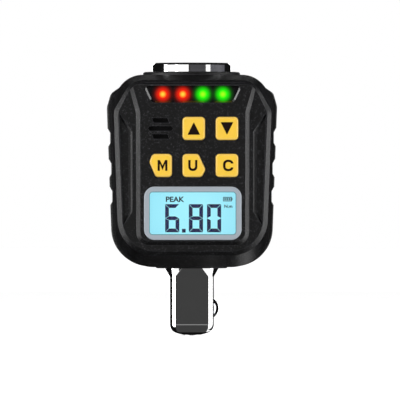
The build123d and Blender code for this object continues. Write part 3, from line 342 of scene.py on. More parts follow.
def moulded_plastic(look):
    """ABS, injection moulded against a spark eroded tool: near black, satin, with a fine even
    grit whose lighter grains are painted glints, and edges polished by handling that also get a
    lighter tone as a painted highlight. The real grit is finer than the picture can show, so it is
    drawn coarser."""
    material, tree, place = patterned_material("ABS moulded black")
    grit = add(
        tree,
        "ShaderNodeTexNoise",
        {"Vector": place, "Scale": 1 / look.grit, "Detail": 2.0, "Roughness": 0.6},
    )
    patches = add(
        tree,
        "ShaderNodeTexNoise",
        {"Vector": place, "Scale": 1 / (PATCH_WIDTH * MM), "Detail": 2.0},
    )
    edge = edge_mask(tree, look.edge_width)
    ground = add(
        tree,
        "ShaderNodeMix",
        {"Factor": patches.outputs["Fac"], "A": look.plastic, "B": linear("#0A0A0B")},
        data_type="RGBA",
    )
    glint_share = add(
        tree,
        "ShaderNodeMapRange",
        {"Value": grit.outputs["Fac"], "From Min": GLINT_RANGE[0], "From Max": GLINT_RANGE[1]},
    )
    # Painted glint: the grit's brightest grains get a lighter tone for the light glittering on
    # them.
    grains = add(
        tree,
        "ShaderNodeMix",
        {"Factor": glint_share.outputs[0], "A": ground.outputs["Result"], "B": linear("#3C3C40")},
        data_type="RGBA",
    )
    # Painted highlight: the edges are lightened towards the edge tone.
    highlighted = add(
        tree,
        "ShaderNodeMix",
        {"Factor": edge, "A": grains.outputs["Result"], "B": look.edge_highlight},
        data_type="RGBA",
    )
    rough = add(tree, "ShaderNodeMapRange", {"Value": edge, "To Min": 0.42, "To Max": 0.3})
    bump = add(
        tree,
        "ShaderNodeBump",
        {"Strength": 0.6, "Distance": 0.08 * MM, "Height": grit.outputs["Fac"]},
    )
    shader = add(
        tree,
        "ShaderNodeBsdfPrincipled",
        {
            "Base Color": highlighted.outputs["Result"],
            "Roughness": rough.outputs[0],
            "Normal": bump.outputs[0],
            "IOR": 1.5,
        },
    )
    return finish_material(material, shader)


def dotted_rubber(look):
    """Thermoplastic rubber, overmoulded: dead black and soft, with rows of small raised dots whose
    tops get a lighter tone as a painted highlight. The grains of its dust are finer than the
    picture can show, so they are drawn coarser."""
    material, tree, place = patterned_material("TPE rubber dotted")
    flat = add(
        tree,
        "ShaderNodeVectorMath",
        {0: place, 1: (0.0, 1 / look.dot_pitch, 1 / look.dot_pitch)},
        operation="MULTIPLY",
    )
    cell = add(tree, "ShaderNodeVectorMath", {0: flat.outputs[0]}, operation="FRACTION")
    reach = add(
        tree, "ShaderNodeVectorMath", {0: cell.outputs[0], 1: (0.0, 0.5, 0.5)}, operation="DISTANCE"
    )
    dot = add(
        tree,
        "ShaderNodeMapRange",
        {"Value": reach.outputs["Value"], "From Min": DOT_RANGE[0], "From Max": DOT_RANGE[1]},
        interpolation_type="SMOOTHSTEP",
    )
    dust = add(
        tree, "ShaderNodeTexNoise", {"Vector": place, "Scale": 1 / (DUST_WIDTH * MM), "Detail": 2.0}
    )
    height = add(
        tree,
        "ShaderNodeMath",
        {0: dust.outputs["Fac"], 1: 0.15, 2: dot.outputs[0]},
        operation="MULTIPLY_ADD",
    )
    bump = add(
        tree, "ShaderNodeBump", {"Strength": 0.6, "Distance": 0.1 * MM, "Height": height.outputs[0]}
    )
    rough = add(
        tree, "ShaderNodeMapRange", {"Value": dust.outputs["Fac"], "To Min": 0.58, "To Max": 0.74}
    )
    # Painted highlight: the dots get a lighter tone for the light they catch.
    raised, relief, roughness = linear("#222225"), bump.outputs[0], rough.outputs[0]
    return two_tones(material, dot.outputs[0], look.rubber, raised, roughness, 1.5, Normal=relief)


def seal_rubber(look):
    """Nitrile rubber, moulded: matt black with a faint bloom."""
    material, tree, place = patterned_material("NBR rubber moulded")
    bloom = add(
        tree,
        "ShaderNodeTexNoise",
        {"Vector": place, "Scale": 1 / (BLOOM_WIDTH * MM), "Detail": 3.0},
    )
    return two_tones(material, bloom.outputs["Fac"], look.rubber, linear("#1A1A1C"), 0.62, 1.5)


def metal(name, tone, roughness, grain, depth):
    """A metal surface whose reflections waver over the grain. Lengths are in millimetres. The
    real grain is finer than the picture can show, so it is drawn coarser."""
    material, tree, place = patterned_material(name)
    grains = add(
        tree, "ShaderNodeTexNoise", {"Vector": place, "Scale": 1 / (grain * MM), "Detail": 3.0}
    )
    rough = add(
        tree,
        "ShaderNodeMapRange",
        {"Value": grains.outputs["Fac"], "To Min": roughness * 0.7, "To Max": roughness * 1.3},
    )
    bump = add(
        tree,
        "ShaderNodeBump",
        {"Strength": 0.3, "Distance": depth * MM, "Height": grains.outputs["Fac"]},
    )
    shader = add(
        tree,
        "ShaderNodeBsdfPrincipled",
        {
            "Base Color": tone,
            "Metallic": 1.0,
            "Roughness": rough.outputs[0],
            "Normal": bump.outputs[0],
        },
    )
    return finish_material(material, shader)


def plain(name, tone, second, roughness, grain, ior=1.5):
    """A moulded or cast surface of two near tones, mottled over the grain in millimetres. The
    real texture is finer than the picture can show, so it is drawn coarser."""
    material, tree, place = patterned_material(name)
    mottle = add(
        tree, "ShaderNodeTexNoise", {"Vector": place, "Scale": 1 / (grain * MM), "Detail": 3.0}
    )
    factor = mottle.outputs["Fac"]
    bump = add(tree, "ShaderNodeBump", {"Strength": 0.4, "Distance": 0.01 * MM, "Height": factor})
    return two_tones(material, factor, tone, second, roughness, ior, Normal=bump.outputs[0])


def clear_acrylic():
    """Cast acrylic, flame polished: colourless, with a crisp reflection."""
    material, tree = new_material("Acrylic clear")
    shader = add(
        tree,
        "ShaderNodeBsdfPrincipled",
        {
            "Base Color": linear("#FAFEFF"),
            "Roughness": 0.03,
            "IOR": 1.49,
            "Transmission Weight": 1.0,
        },
    )
    return finish_material(material, shader)


def lit_display(look):
    """Liquid crystal glass over a lit diffuser: an even pale cyan, a little deeper at its rim,
    inside a thin darker line."""
    material, tree, place = patterned_material("LCD glass lit")
    low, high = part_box("display_bezel")
    flat = front_offset(tree, place, (low + high) / 2)
    apart = add(tree, "ShaderNodeVectorMath", {0: flat}, operation="ABSOLUTE")
    corner = (SCREEN_HALF[0] - SCREEN_R, 0.0, SCREEN_HALF[1] - SCREEN_R)
    past = add(
        tree,
        "ShaderNodeVectorMath",
        {0: apart.outputs[0], 1: [c * MM for c in corner]},
        operation="SUBTRACT",
    )
    outside = add(
        tree, "ShaderNodeVectorMath", {0: past.outputs[0], 1: (0.0, 0.0, 0.0)}, operation="MAXIMUM"
    )
    reach = add(tree, "ShaderNodeVectorMath", {0: outside.outputs[0]}, operation="LENGTH")
    line = add(
        tree,
        "ShaderNodeMapRange",
        {
            "Value": reach.outputs["Value"],
            "From Min": (SCREEN_R - FRAME_LINE * 1.3) * MM,
            "From Max": (SCREEN_R - FRAME_LINE * 0.7) * MM,
        },
    )
    spread = add(tree, "ShaderNodeVectorMath", {0: flat}, operation="LENGTH")
    falloff = add(
        tree,
        "ShaderNodeMapRange",
        {
            "Value": spread.outputs["Value"],
            "From Min": FADE_RANGE[0] * MM,
            "From Max": FADE_RANGE[1] * MM,
        },
    )
    light = add(
        tree,
        "ShaderNodeMix",
        {"Factor": falloff.outputs[0], "A": look.lit, "B": linear("#92E4F6")},
        data_type="RGBA",
    )
    framed = add(
        tree,
        "ShaderNodeMix",
        {"Factor": line.outputs[0], "A": light.outputs["Result"], "B": look.frame},
        data_type="RGBA",
    )
    shader = add(
        tree,
        "ShaderNodeBsdfPrincipled",
        {
            "Base Color": linear("#20383C"),
            "Roughness": 0.25,
            "Emission Color": framed.outputs["Result"],
            "Emission Strength": 1.0,
        },
    )
    return finish_material(material, shader)


def printed_ink(name, tone, ior=1.3):
    """Pad printed ink: one flat tone with the faint unevenness of a thin coat."""
    return plain(name, tone, darker(tone, 0.8), 0.5, 0.4, ior)


def lamp_window(look):
    """Smoked acrylic, moulded and polished: nearly black, and each lamp behind it lights a soft
    round patch, hot in its middle."""
    material, tree, place = patterned_material("Acrylic smoked")
    total = None
    for lamp, glow, core in lamp_spots(look):
        flat = front_offset(tree, place, lamp)
        reach = add(tree, "ShaderNodeVectorMath", {0: flat}, operation="LENGTH")
        # A haze, the glow and the hot core: tone, radius, where it is full, and how strong.
        for tone, radius, near, power in (
            (glow, look.glow * 1.3, 0.1, 0.22),
            (glow, look.glow * 0.97, 0.28, 0.8),
            (core, look.core, 0.05, 1.0),
        ):
            fade = add(
                tree,
                "ShaderNodeMapRange",
                {
                    "Value": reach.outputs["Value"],
                    "From Min": radius,
                    "From Max": radius * near,
                    "To Max": power,
                },
                interpolation_type="SMOOTHSTEP",
            )
            patch = add(
                tree,
                "ShaderNodeVectorMath",
                {0: tone[:3], "Scale": fade.outputs[0]},
                operation="SCALE",
            )
            total = (
                add(
                    tree,
                    "ShaderNodeVectorMath",
                    {0: total.outputs[0], 1: patch.outputs[0]},
                    operation="ADD",
                )
                if total
                else patch
            )
    shader = add(
        tree,
        "ShaderNodeBsdfPrincipled",
        {
            "Base Color": look.lens,
            "Roughness": 0.12,
            "IOR": 1.49,
            "Emission Color": total.outputs[0],
            "Emission Strength": 1.0,
        },
    )
    return finish_material(material, shader)


def lamp_spots(look):
    """Each lamp's centre with the colours of its glow and its core."""
    spots = []
    for node, glow, core in (
        ("red_lamps", look.red, linear("#FFD840")),
        ("green_lamps", look.green, linear("#A8F818")),
    ):
        low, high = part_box(node)
        radius = (high.z - low.z) / 2
        for x in (low.x + radius, high.x - radius):
            spots.append((Vector((x, low.y, low.z + radius)), glow, core))
    return spots


def lamp_body(name, tone):
    """Tinted epoxy, cast round the diode: clear and lit from within."""
    material, tree, place = patterned_material(name)
    cloud = add(
        tree,
        "ShaderNodeTexNoise",
        {"Vector": place, "Scale": 1 / (EPOXY_WIDTH * MM), "Detail": 1.0},
    )
    tones = add(
        tree,
        "ShaderNodeMix",
        {"Factor": cloud.outputs["Fac"], "A": tone, "B": darker(tone, 0.7)},
        data_type="RGBA",
    )
    shader = add(
        tree,
        "ShaderNodeBsdfPrincipled",
        {
            "Base Color": tones.outputs["Result"],
            "Roughness": 0.2,
            "IOR": 1.53,
            "Emission Color": tones.outputs["Result"],
            "Emission Strength": 0.8,
        },
    )
    return finish_material(material, shader)


def key_plastic(look):
    """ABS, moulded in yellow with a satin face: warm, with a lighter line round its edge as a
    painted highlight.
    """
    material, tree, place = patterned_material("ABS satin yellow")
    cloud = add(
        tree, "ShaderNodeTexNoise", {"Vector": place, "Scale": 1 / (KEY_WIDTH * MM), "Detail": 2.0}
    )
    face = add(
        tree,
        "ShaderNodeMix",
        {"Factor": cloud.outputs["Fac"], "A": look.cap, "B": linear("#FFCC4A")},
        data_type="RGBA",
    )
    # Painted highlight: a lighter tone round the cap's edge for the light it catches.
    rim = add(
        tree,
        "ShaderNodeMix",
        {"Factor": edge_mask(tree, KEY_EDGE * MM), "A": face.outputs["Result"], "B": look.cap_edge},
        data_type="RGBA",
    )
    shader = add(
        tree,
        "ShaderNodeBsdfPrincipled",
        {"Base Color": rim.outputs["Result"], "Roughness": 0.42, "IOR": 1.5},
    )
    return finish_material(material, shader)


def board_laminate():
    """Glass epoxy board under green solder mask: rows of buried tracks show as lighter lines."""
    material, tree, place = patterned_material("FR4 solder mask")
    upright = add(tree, "ShaderNodeMapping", {"Vector": place, "Rotation": (math.pi / 2, 0.0, 0.0)})
    # A row of bricks is a quarter of the pattern's unit high.
    tracks = add(
        tree,
        "ShaderNodeTexBrick",
        {
            "Vector": upright.outputs[0],
            "Color1": linear("#0A5A2C"),
            "Color2": linear("#0C4A26"),
            "Mortar": linear("#2E8A4C"),
            "Scale": 0.25 / (TRACK_PITCH * MM),
            "Mortar Size": 0.03,
        },
    )
    shader = add(
        tree,
        "ShaderNodeBsdfPrincipled",
        {"Base Color": tracks.outputs["Color"], "Roughness": 0.3, "IOR": 1.5},
    )
    return finish_material(material, shader)


def gauge_foil():
    """Polyimide film with an etched foil grid: amber, with fine dark lines across the shaft. The
    real lines are finer than a picture can show, so they are drawn coarser."""
    material, tree, place = patterned_material("Polyimide gauge film")
    grid = add(
        tree,
        "ShaderNodeTexWave",
        {"Vector": place, "Scale": 0.5 / (GRID_LINE * MM) / math.pi, "Distortion": 0.0},
        bands_direction="Z",
    )
    return two_tones(material, grid.outputs["Fac"], linear("#C8862A"), linear("#5A3A1A"), 0.3, 1.6)


def cell_jacket():
    """A dry cell's shrunk sleeve: black, with a copper tone over its upper third."""
    material, tree, place = patterned_material("PVC cell sleeve")
    height = add(tree, "ShaderNodeSeparateXYZ", {0: place}).outputs["Z"]
    low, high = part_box("left_cell")
    band = add(
        tree,
        "ShaderNodeMath",
        {0: height, 1: low.z + (high.z - low.z) * COPPER_FROM},
        operation="GREATER_THAN",
    )
    return two_tones(material, band.outputs[0], linear("#17181A"), linear("#B8743A"), 0.25, 1.53)


def wire_sleeve():
    """Stranded wire in PVC: red on one side of the housing and black on the other."""
    material, tree, place = patterned_material("PVC wire sleeve")
    side = add(tree, "ShaderNodeSeparateXYZ", {0: place}).outputs["X"]
    right = add(tree, "ShaderNodeMath", {0: side, 1: 0.0}, operation="GREATER_THAN")
    return two_tones(material, right.outputs[0], linear("#1A1A1C"), linear("#B01C14"), 0.4, 1.53)


# Helpers for pieces


def start_piece():
    """Object mode with nothing selected, so that an operator acts on the new piece alone."""
    if bpy.context.object and bpy.context.object.mode != "OBJECT":
        bpy.ops.object.mode_set(mode="OBJECT")
    bpy.ops.object.select_all(action="DESELECT")


def settle(piece, name, body, material):
    """Leaves edit mode, applies the piece's place, and lets it ride on its body."""
    if piece.mode != "OBJECT":
        bpy.ops.object.mode_set(mode="OBJECT")
    start_piece()
    piece.select_set(True)
    bpy.context.view_layer.objects.active = piece
    bpy.ops.object.transform_apply(location=True, rotation=True, scale=True)
    bpy.ops.object.origin_set(type="ORIGIN_CURSOR")
    piece.name = name
    piece.data.name = name
    piece.data.materials.clear()
    piece.data.materials.append(material)
    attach(piece, body)
    piece.select_set(False)
    return piece


def text_piece(words, centre, width, height, thick):
    """Flat letters that face -Y, fitted round centre to a width and a height, as a mesh."""
    start_piece()
    bpy.ops.object.text_add(location=(0, 0, 0))
    piece = bpy.context.object
    piece.data.body = words
    piece.data.align_x = "CENTER"
    piece.data.align_y = "CENTER"
    piece.data.offset = WORD_BOLD
    piece.data.extrude = 0.5
    piece.data.resolution_u = LETTER_STEPS
    bpy.ops.object.convert(target="MESH")
    corners = [Vector(c) for c in piece.bound_box]
    low = Vector([min(c[i] for c in corners) for i in range(3)])
    high = Vector([max(c[i] for c in corners) for i in range(3)])
    size = high - low
    bpy.ops.object.mode_set(mode="EDIT")
    bpy.ops.mesh.select_all(action="SELECT")
    bpy.ops.transform.translate(value=-(low + high) / 2)
    bpy.ops.transform.resize(
        value=(width / size.x, height / size.y, thick / size.z),
        center_override=(0, 0, 0),
    )
    bpy.ops.mesh.remove_doubles(threshold=SAME_PLACE)
    bpy.ops.object.mode_set(mode="OBJECT")
    piece.rotation_euler = (math.pi / 2, 0, 0)
    piece.location = centre
    return piece


def start_sign():
    """An empty piece in edit mode, for flat shapes that are added one by one."""
    start_piece()
    bpy.ops.mesh.primitive_plane_add(size=MM)
    bpy.ops.object.mode_set(mode="EDIT")
    bpy.ops.mesh.delete(type="VERT")
    return bpy.context.object


def pick_places(mesh, places):
    """In edit mode, selects only the corners that lie at the places."""
    shape = bmesh.from_edit_mesh(mesh)
    for corner in shape.verts:
        corner.select = any((corner.co - place).length < SAME_PLACE for place in places)
    shape.select_flush_mode()
    bmesh.update_edit_mesh(mesh)


def flat_shape(points, rounded=()):
    """Adds one face that faces -Y to the sign in edit mode.

    points are its corners, (x, z) in metres. rounded holds pairs of a radius and the numbers
    of the corners that get it.
    """
    mesh = bpy.context.object.data
    bpy.ops.mesh.select_all(action="DESELECT")
    bpy.ops.mesh.primitive_circle_add(
        vertices=len(points), radius=MM, fill_type="NGON", rotation=(math.pi / 2, 0, 0)
    )
    shape = bmesh.from_edit_mesh(mesh)
    order = [corner.index for face in shape.faces if face.select for corner in face.verts]
    places = [Vector((x, 0, z)) for x, z in points]
    for number, place in zip(order, places):
        shape = bmesh.from_edit_mesh(mesh)
        shape.verts.ensure_lookup_table()
        for corner in shape.verts:
            corner.select = corner.index == number
        shape.select_flush_mode()
        move = place - shape.verts[number].co
        bmesh.update_edit_mesh(mesh)
        bpy.ops.transform.translate(value=move)
    for radius, numbers in rounded:
        pick_places(mesh, [places[i] for i in numbers])
        bpy.ops.mesh.bevel(offset=radius, segments=CORNER_STEPS, affect="VERTICES")


def finish_sign(piece, centre, thick, name, body, material):
    """Gives the flat shapes their thickness towards -Y and puts the sign in its place."""
    bpy.ops.mesh.select_all(action="SELECT")
    bpy.ops.mesh.extrude_region_move(TRANSFORM_OT_translate={"value": (0, -thick, 0)})
    bpy.ops.mesh.select_all(action="SELECT")
    bpy.ops.mesh.normals_make_consistent(inside=False)
    bpy.ops.transform.translate(value=centre)
    return settle(piece, name, body, material)


# Operators

# The ball's spring: its wire and how far the ball pushes it, in millimetres, its turns, and the
# sides of the wire and the steps of a turn in its mesh.
SPRING_WIRE, BALL_TRAVEL = 0.5, 1.3
SPRING_TURNS, WIRE_SIDES, TURN_STEPS = 5, 16, 40
WIRE_CREASE = math.radians(50)


class ADAPTER_OT_metal_parts(bpy.types.Operator):
    """Give the shaft, ball, springs, ring, screws and bush their metal"""

    bl_idname = "adapter.metal_parts"
    bl_label = "Metal parts"

    def execute(self, context):
        look = context.scene.adapter_metal
        # Hard chrome on ground steel: a mirror that wavers slightly over the grinding.
        chrome = metal("Chrome plate polished", look.chrome, look.chrome_roughness, 2.4, 0.0015)
        # Bearing steel, lapped: the smoothest surface of the adapter.
        steel = metal("Bearing steel lapped", look.steel, 0.08, 0.8, 0.002)
        # Spring wire, drawn: a duller grey with a fine grain.
        wire = metal("Spring steel drawn", look.steel, 0.25, 0.3, 0.01)
        # Nickel plate on stamped or headed steel: warm and satin.
        nickel = metal("Nickel plate satin", look.nickel, 0.2, 0.5, 0.01)
        # Sintered bronze, oil soaked: open pores make it speckled and dull.
        bronze = metal("Bronze sintered", look.bronze, 0.42, 0.25, 0.05)
        dress(chrome, "torque_shaft")
        dress(steel, "detent_ball", "locating_pin")
        dress(wire, "retaining_ring", "cell_springs")
        dress(nickel, "case_screws", "cover_screws", "board_screws", "key_domes", "contact_plates")
        dress(bronze, "lower_bush")
        self.ball_spring(wire)
        return {"FINISHED"}

    def ball_spring(self, wire):
        """The coil behind the ball, wound round X."""
        low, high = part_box("detent_spring")
        fixed = Vector((low.x, (low.y + high.y) / 2, (low.z + high.z) / 2))
        thick, span = SPRING_WIRE * MM, high.x - low.x
        start_piece()
        bpy.ops.mesh.primitive_circle_add(
            vertices=WIRE_SIDES,
            radius=thick / 2,
            location=((high.y - low.y - thick) / 2, 0, 0),
            rotation=(math.pi / 2, 0, 0),
        )
        piece = bpy.context.object
        bpy.ops.object.transform_apply(location=True, rotation=True, scale=True)
        bpy.ops.object.modifier_add(type="SCREW")
        winding = piece.modifiers[-1]
        winding.iterations = SPRING_TURNS
        winding.screw_offset = (span - thick) / SPRING_TURNS
        winding.steps = winding.render_steps = TURN_STEPS
        bpy.ops.object.modifier_apply(modifier=winding.name)
        bpy.ops.object.mode_set(mode="EDIT")
        bpy.ops.mesh.select_all(action="SELECT")
        bpy.ops.mesh.fill_holes(sides=0)
        bpy.ops.mesh.normals_make_consistent(inside=False)
        bpy.ops.object.mode_set(mode="OBJECT")
        bpy.ops.object.shade_smooth_by_angle(angle=WIRE_CREASE)
        piece.rotation_euler = (0, math.pi / 2, 0)
        piece.location = fixed + Vector((thick / 2, 0, 0))
        settle(piece, "ball_spring", "housing", wire)
        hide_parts("detent_spring")
        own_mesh(piece)


class ADAPTER_OT_housing(bpy.types.Operator):
    """Give the two shells and the battery cover their moulded plastic"""

    bl_idname = "adapter.housing"
    bl_label = "Housing"

    def execute(self, context):
        look = context.scene.adapter_housing
        dress(moulded_plastic(look), "front_shell", "rear_shell", "battery_cover")
        return {"FINISHED"}


class ADAPTER_OT_grips_and_seals(bpy.types.Operator):
    """Give the side grips, the seals and the gaskets their rubber"""

    bl_idname = "adapter.grips_and_seals"
    bl_label = "Grips and seals"

    def execute(self, context):
        look = context.scene.adapter_housing
        dress(dotted_rubber(look), "left_grip", "right_grip")
        dress(seal_rubber(look), "lower_seal", "upper_seal")
        # Silicone, pressed: pale grey and waxy.
        silicone = plain(
            "Silicone pressed grey", linear("#6C6E74"), linear("#5C5E64"), 0.55, 1.5, ior=1.41
        )
        dress(silicone, "shell_gasket", "cover_seal", "keypad_mat", "contact_strips")
        return {"FINISHED"}


class ADAPTER_OT_display(bpy.types.Operator):
    """Give the display its bezel, window and lit panel"""

    bl_idname = "adapter.display"
    bl_label = "Display"

    def execute(self, context):
        look = context.scene.adapter_display
        # Satin paint on ABS: cool pale grey.
        bezel = plain("ABS painted grey", look.trim, linear("#A8AEB6"), 0.36, 0.5)
        dress(bezel, "display_bezel")
        dress(clear_acrylic(), "display_window")
        dress(lit_display(look), "lcd_panel")
        # Opal acrylic, extruded: milky white.
        opal = plain("Acrylic opal", linear("#EAF6F6"), linear("#DCEEEE"), 0.5, 2.0, ior=1.49)
        dress(opal, "lcd_backlight")
        return {"FINISHED"}


# Which segments each figure lights: top, upper left, upper right, middle, lower left,
# lower right, bottom.
FIGURES = {
    "0": "1110111",
    "1": "0010010",
    "2": "1011101",
    "3": "1011011",
    "4": "0111010",
    "5": "1101011",
    "6": "1101111",
    "7": "1010010",
    "8": "1111111",
    "9": "1111011",
}
# Places and sizes on the display, in millimetres.
DIGIT_CENTRES = (-5.88, 0.92, 6.12)
DIGIT_Z = 33.88
POINT_AT = (-2.55, 30.3)
SEGMENT_THICK = 0.05
WORD_AT, WORD_SIZE = (-5.05, 39.3), (5.3, 1.55)
UNIT_AT, UNIT_SIZE = (10.2, 37.3), (2.3, 0.9)
CELL_SIGN_AT, CELL_SIGN_SIZE = (9.95, 39.35), (2.5, 1.25)
CELL_SIGN_LINE = 0.2
# The point's rounding as a share of its width, and how much bolder the words are than their
# font, as a share of its size.
POINT_ROUND, WORD_BOLD = 0.12, 0.03
# Half a bar's width and half the pole's height as shares of half the sign, and the pitch of the
# bars in half bars.
CELL_BAR, CELL_POLE, CELL_BAR_PITCH = 1 / 6, 0.45, 3.1


class ADAPTER_OT_reading(bpy.types.Operator):
    """Add the digits, the point and the small signs of the display"""

    bl_idname = "adapter.reading"
    bl_label = "Reading"

    def execute(self, context):
        look = context.scene.adapter_display
        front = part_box("lcd_panel")[0].y
        # Dark crystal between two glasses has no shine of its own.
        ink = printed_ink("Liquid crystal blue", look.ink, ior=1.0)
        small = printed_ink("Liquid crystal teal", look.small_ink, ior=1.0)
        thick = SEGMENT_THICK * MM
        digits = [c for c in look.reading if c in FIGURES]
        if len(digits) > len(DIGIT_CENTRES):
            raise ValueError("the reading has more than three digits")
        for i, (figure, x) in enumerate(zip(digits, DIGIT_CENTRES)):
            self.digit(look, figure, Vector((x * MM, front, DIGIT_Z * MM)), f"digit_{i + 1}", ink)
        if "." in look.reading:
            self.point(Vector((POINT_AT[0] * MM, front, POINT_AT[1] * MM)), look.stroke, ink)
        for name, words, place, size in (
            ("mode_word", look.word, WORD_AT, WORD_SIZE),
            ("unit_word", look.unit_word, UNIT_AT, UNIT_SIZE),
        ):
            centre = (place[0] * MM, front - thick / 2, place[1] * MM)
            piece = text_piece(words, centre, size[0] * MM, size[1] * MM, thick)
            settle(piece, name, "housing", small)
        self.cell_sign(Vector((CELL_SIGN_AT[0] * MM, front, CELL_SIGN_AT[1] * MM)), small)
        return {"FINISHED"}

    def segments(self, look):
        """The seven segments as corners round a digit's centre, in the order of FIGURES."""
        a, b, s, gap = look.digit_width / 2, look.digit_height / 2, look.stroke, look.gap
        miter = gap * math.sqrt(0.5)
        top = [(miter - a, b), (a - miter, b), (a - miter - s, b - s), (miter - a + s, b - s)]
        side = [(-a, gap / 2), (-a, b - miter), (s - a, b - miter - s), (s - a, (s + gap) / 2)]
        tip = a - gap
        middle = [(-tip, 0), (s - tip, s / 2), (tip - s, s / 2)]
        middle += [(-x, -z) for x, z in middle]
        right = [(-x, z) for x, z in side]
        lower = [[(x, -z) for x, z in bar] for bar in (side, right, top)]
        return [top, side, right, middle, *lower]

    def digit(self, look, figure, centre, name, ink):
        piece = start_sign()
        for lit, bar in zip(FIGURES[figure], self.segments(look)):
            if lit == "1":
                flat_shape(bar)
        return finish_sign(piece, centre, SEGMENT_THICK * MM, name, "housing", ink)

    def point(self, centre, width, ink):
        piece = start_sign()
        half = width / 2
        square = [(-half, -half), (-half, half), (half, half), (half, -half)]
        flat_shape(square, [(width * POINT_ROUND, range(4))])
        return finish_sign(piece, centre, SEGMENT_THICK * MM, "decimal_point", "housing", ink)

    def cell_sign(self, centre, ink):
        piece = start_sign()
        wide, tall = CELL_SIGN_SIZE[0] * MM / 2, CELL_SIGN_SIZE[1] * MM / 2
        line = CELL_SIGN_LINE * MM
        pole = tall * CELL_POLE
        flat_shape([(-wide, -tall), (-wide, tall), (wide, tall), (wide, -tall)])
        bpy.ops.mesh.select_linked()
        bpy.ops.mesh.inset(thickness=line)
        bpy.ops.mesh.delete(type="ONLY_FACE")
        bar = wide * CELL_BAR
        inner = tall - 1.5 * line
        for i in (-1, 0, 1):
            x = i * bar * CELL_BAR_PITCH
            flat_shape([(x - bar, -inner), (x - bar, inner), (x + bar, inner), (x + bar, -inner)])
        end = wide + line
        flat_shape([(wide, -pole), (wide, pole), (end, pole), (end, -pole)])
        return finish_sign(piece, centre, SEGMENT_THICK * MM, "battery_sign", "housing", ink)


class ADAPTER_OT_lamps(bpy.types.Operator):
    """Give the smoked window and the lamps behind it their light"""

    bl_idname = "adapter.lamps"
    bl_label = "Indicator lamps"

    def execute(self, context):
        look = context.scene.adapter_lamps
        dress(lamp_window(look), "indicator_window")
        dress(lamp_body("Epoxy tinted red", look.red), "red_lamps")
        dress(lamp_body("Epoxy tinted green", look.green), "green_lamps")
        return {"FINISHED"}


class ADAPTER_OT_keys(bpy.types.Operator):
    """Give the five push keys their yellow plastic"""

    bl_idname = "adapter.keys"
    bl_label = "Keys"

    def execute(self, context):
        dress(key_plastic(context.scene.adapter_keys), *KEY_BODIES)
        return {"FINISHED"}


# Letters of the keys: where each lies from the middle of its key and its width, in millimetres,
# its corners as shares of its half width and half height, and which of them are rounded.
LETTERS = {
    "mode_key": (
        (0.5, 0.0),
        2.8,
        [(-1, -1), (-1, 1), (-0.54, 1), (0, -0.04), (0.54, 1), (1, 1), (1, -1), (0.55, -1),
         (0.55, 0.36), (0, -0.88), (-0.55, 0.36), (-0.55, -1)],
        [],
    ),
    "unit_key": (
        (-0.3, 0.0),
        2.6,
        [(-1, 1), (-1, -1), (1, -1), (1, 1), (0.5, 1), (0.5, -0.58), (-0.5, -0.58), (-0.5, 1)],
        [(1.1, (1, 2)), (0.6, (5, 6))],
    ),
    "clear_key": (
        (0.35, 0.0),
        2.95,
        [(1, 0.36), (1, 1.06), (-1, 1.06), (-1, -1.06), (1, -1.06), (1, -0.36), (0.52, -0.36),
         (0.52, -0.65), (-0.53, -0.65), (-0.53, 0.65), (0.52, 0.65), (0.52, 0.36)],
        [(1.3, (1, 2, 3, 4)), (0.7, (7, 8, 9, 10))],
    ),
}
ARROW = [(-1, -1), (0, 1), (1, -1)]
# In millimetres: the rounding of an arrow, how deep the front of a cap is taken to be, and how
# deep a legend's root lies in it.
ARROW_EDGE, CAP_REACH, LEGEND_SINK = 0.14, 0.2, 0.05


class ADAPTER_OT_legends(bpy.types.Operator):
    """Print the arrows and letters on the keys"""

    bl_idname = "adapter.legends"
    bl_label = "Key legends"

    def execute(self, context):
        look = context.scene.adapter_keys
        dark = printed_ink("Pad print brown", look.print)
        for key, up in (("up_key", 1), ("down_key", -1)):
            points = [(x * look.arrow / 2, up * z * look.arrow / 2) for x, z in ARROW]
            self.legend(look, key, (0.0, 0.0), points, [(ARROW_EDGE * MM, range(3))], dark)
        for key, (shift, width, corners, rounded) in LETTERS.items():
            points = [(x * width * MM / 2, z * look.letter / 2) for x, z in corners]
            rounded = [(radius * MM, numbers) for radius, numbers in rounded]
            self.legend(look, key, shift, points, rounded, dark)
        return {"FINISHED"}

    def legend(self, look, key, shift, points, rounded, dark):
        """Prints one sign on the front face of a key's cap."""
        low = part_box(key)[0]
        cap = [v.co for v in frame["nodes"][key].data.vertices if v.co.y < low.y + CAP_REACH * MM]
        xs, zs = [p.x for p in cap], [p.z for p in cap]
        middle = Vector(((min(xs) + max(xs)) / 2, low.y, (min(zs) + max(zs)) / 2))
        sunk = Vector((shift[0], LEGEND_SINK, shift[1])) * MM
        piece = start_sign()
        flat_shape(points, rounded)
        thick = look.film + LEGEND_SINK * MM
        finish_sign(piece, middle + sunk, thick, f"legend_{key}", KEY_BODIES[key], dark)


class ADAPTER_OT_inner_parts(bpy.types.Operator):
    """Give the board, chips, gauges, wires and cells inside their finishes"""

    bl_idname = "adapter.inner_parts"
    bl_label = "Inner parts"

    def execute(self, context):
        dress(board_laminate(), "main_board")
        # Moulded epoxy: charcoal, with the dull bloom of its tool.
        epoxy = plain("Epoxy chip body", linear("#1B1C1E"), linear("#232426"), 0.45, 0.4)
        dress(epoxy, "controller_chip", "amplifier_chip")
        # Polyphenylene ether, moulded: dead black behind the slots.
        ether = plain("PPE moulded black", linear("#050506"), linear("#08080A"), 0.7, 0.6)
        dress(ether, "sounder")
        dress(gauge_foil(), "strain_gauges")
        dress(wire_sleeve(), "gauge_wires", "battery_wires")
        dress(cell_jacket(), "left_cell", "right_cell")
        return {"FINISHED"}


# The floor's side in metres, and the width of its paper's faint patches in millimetres.
FLOOR_SIZE, FIBRE_WIDTH = 9.0, 4
# Light of the floor that only the camera sees, and light of the surroundings on the object.
FLOOR_GLOW, AMBIENT = 0.57, 0.5
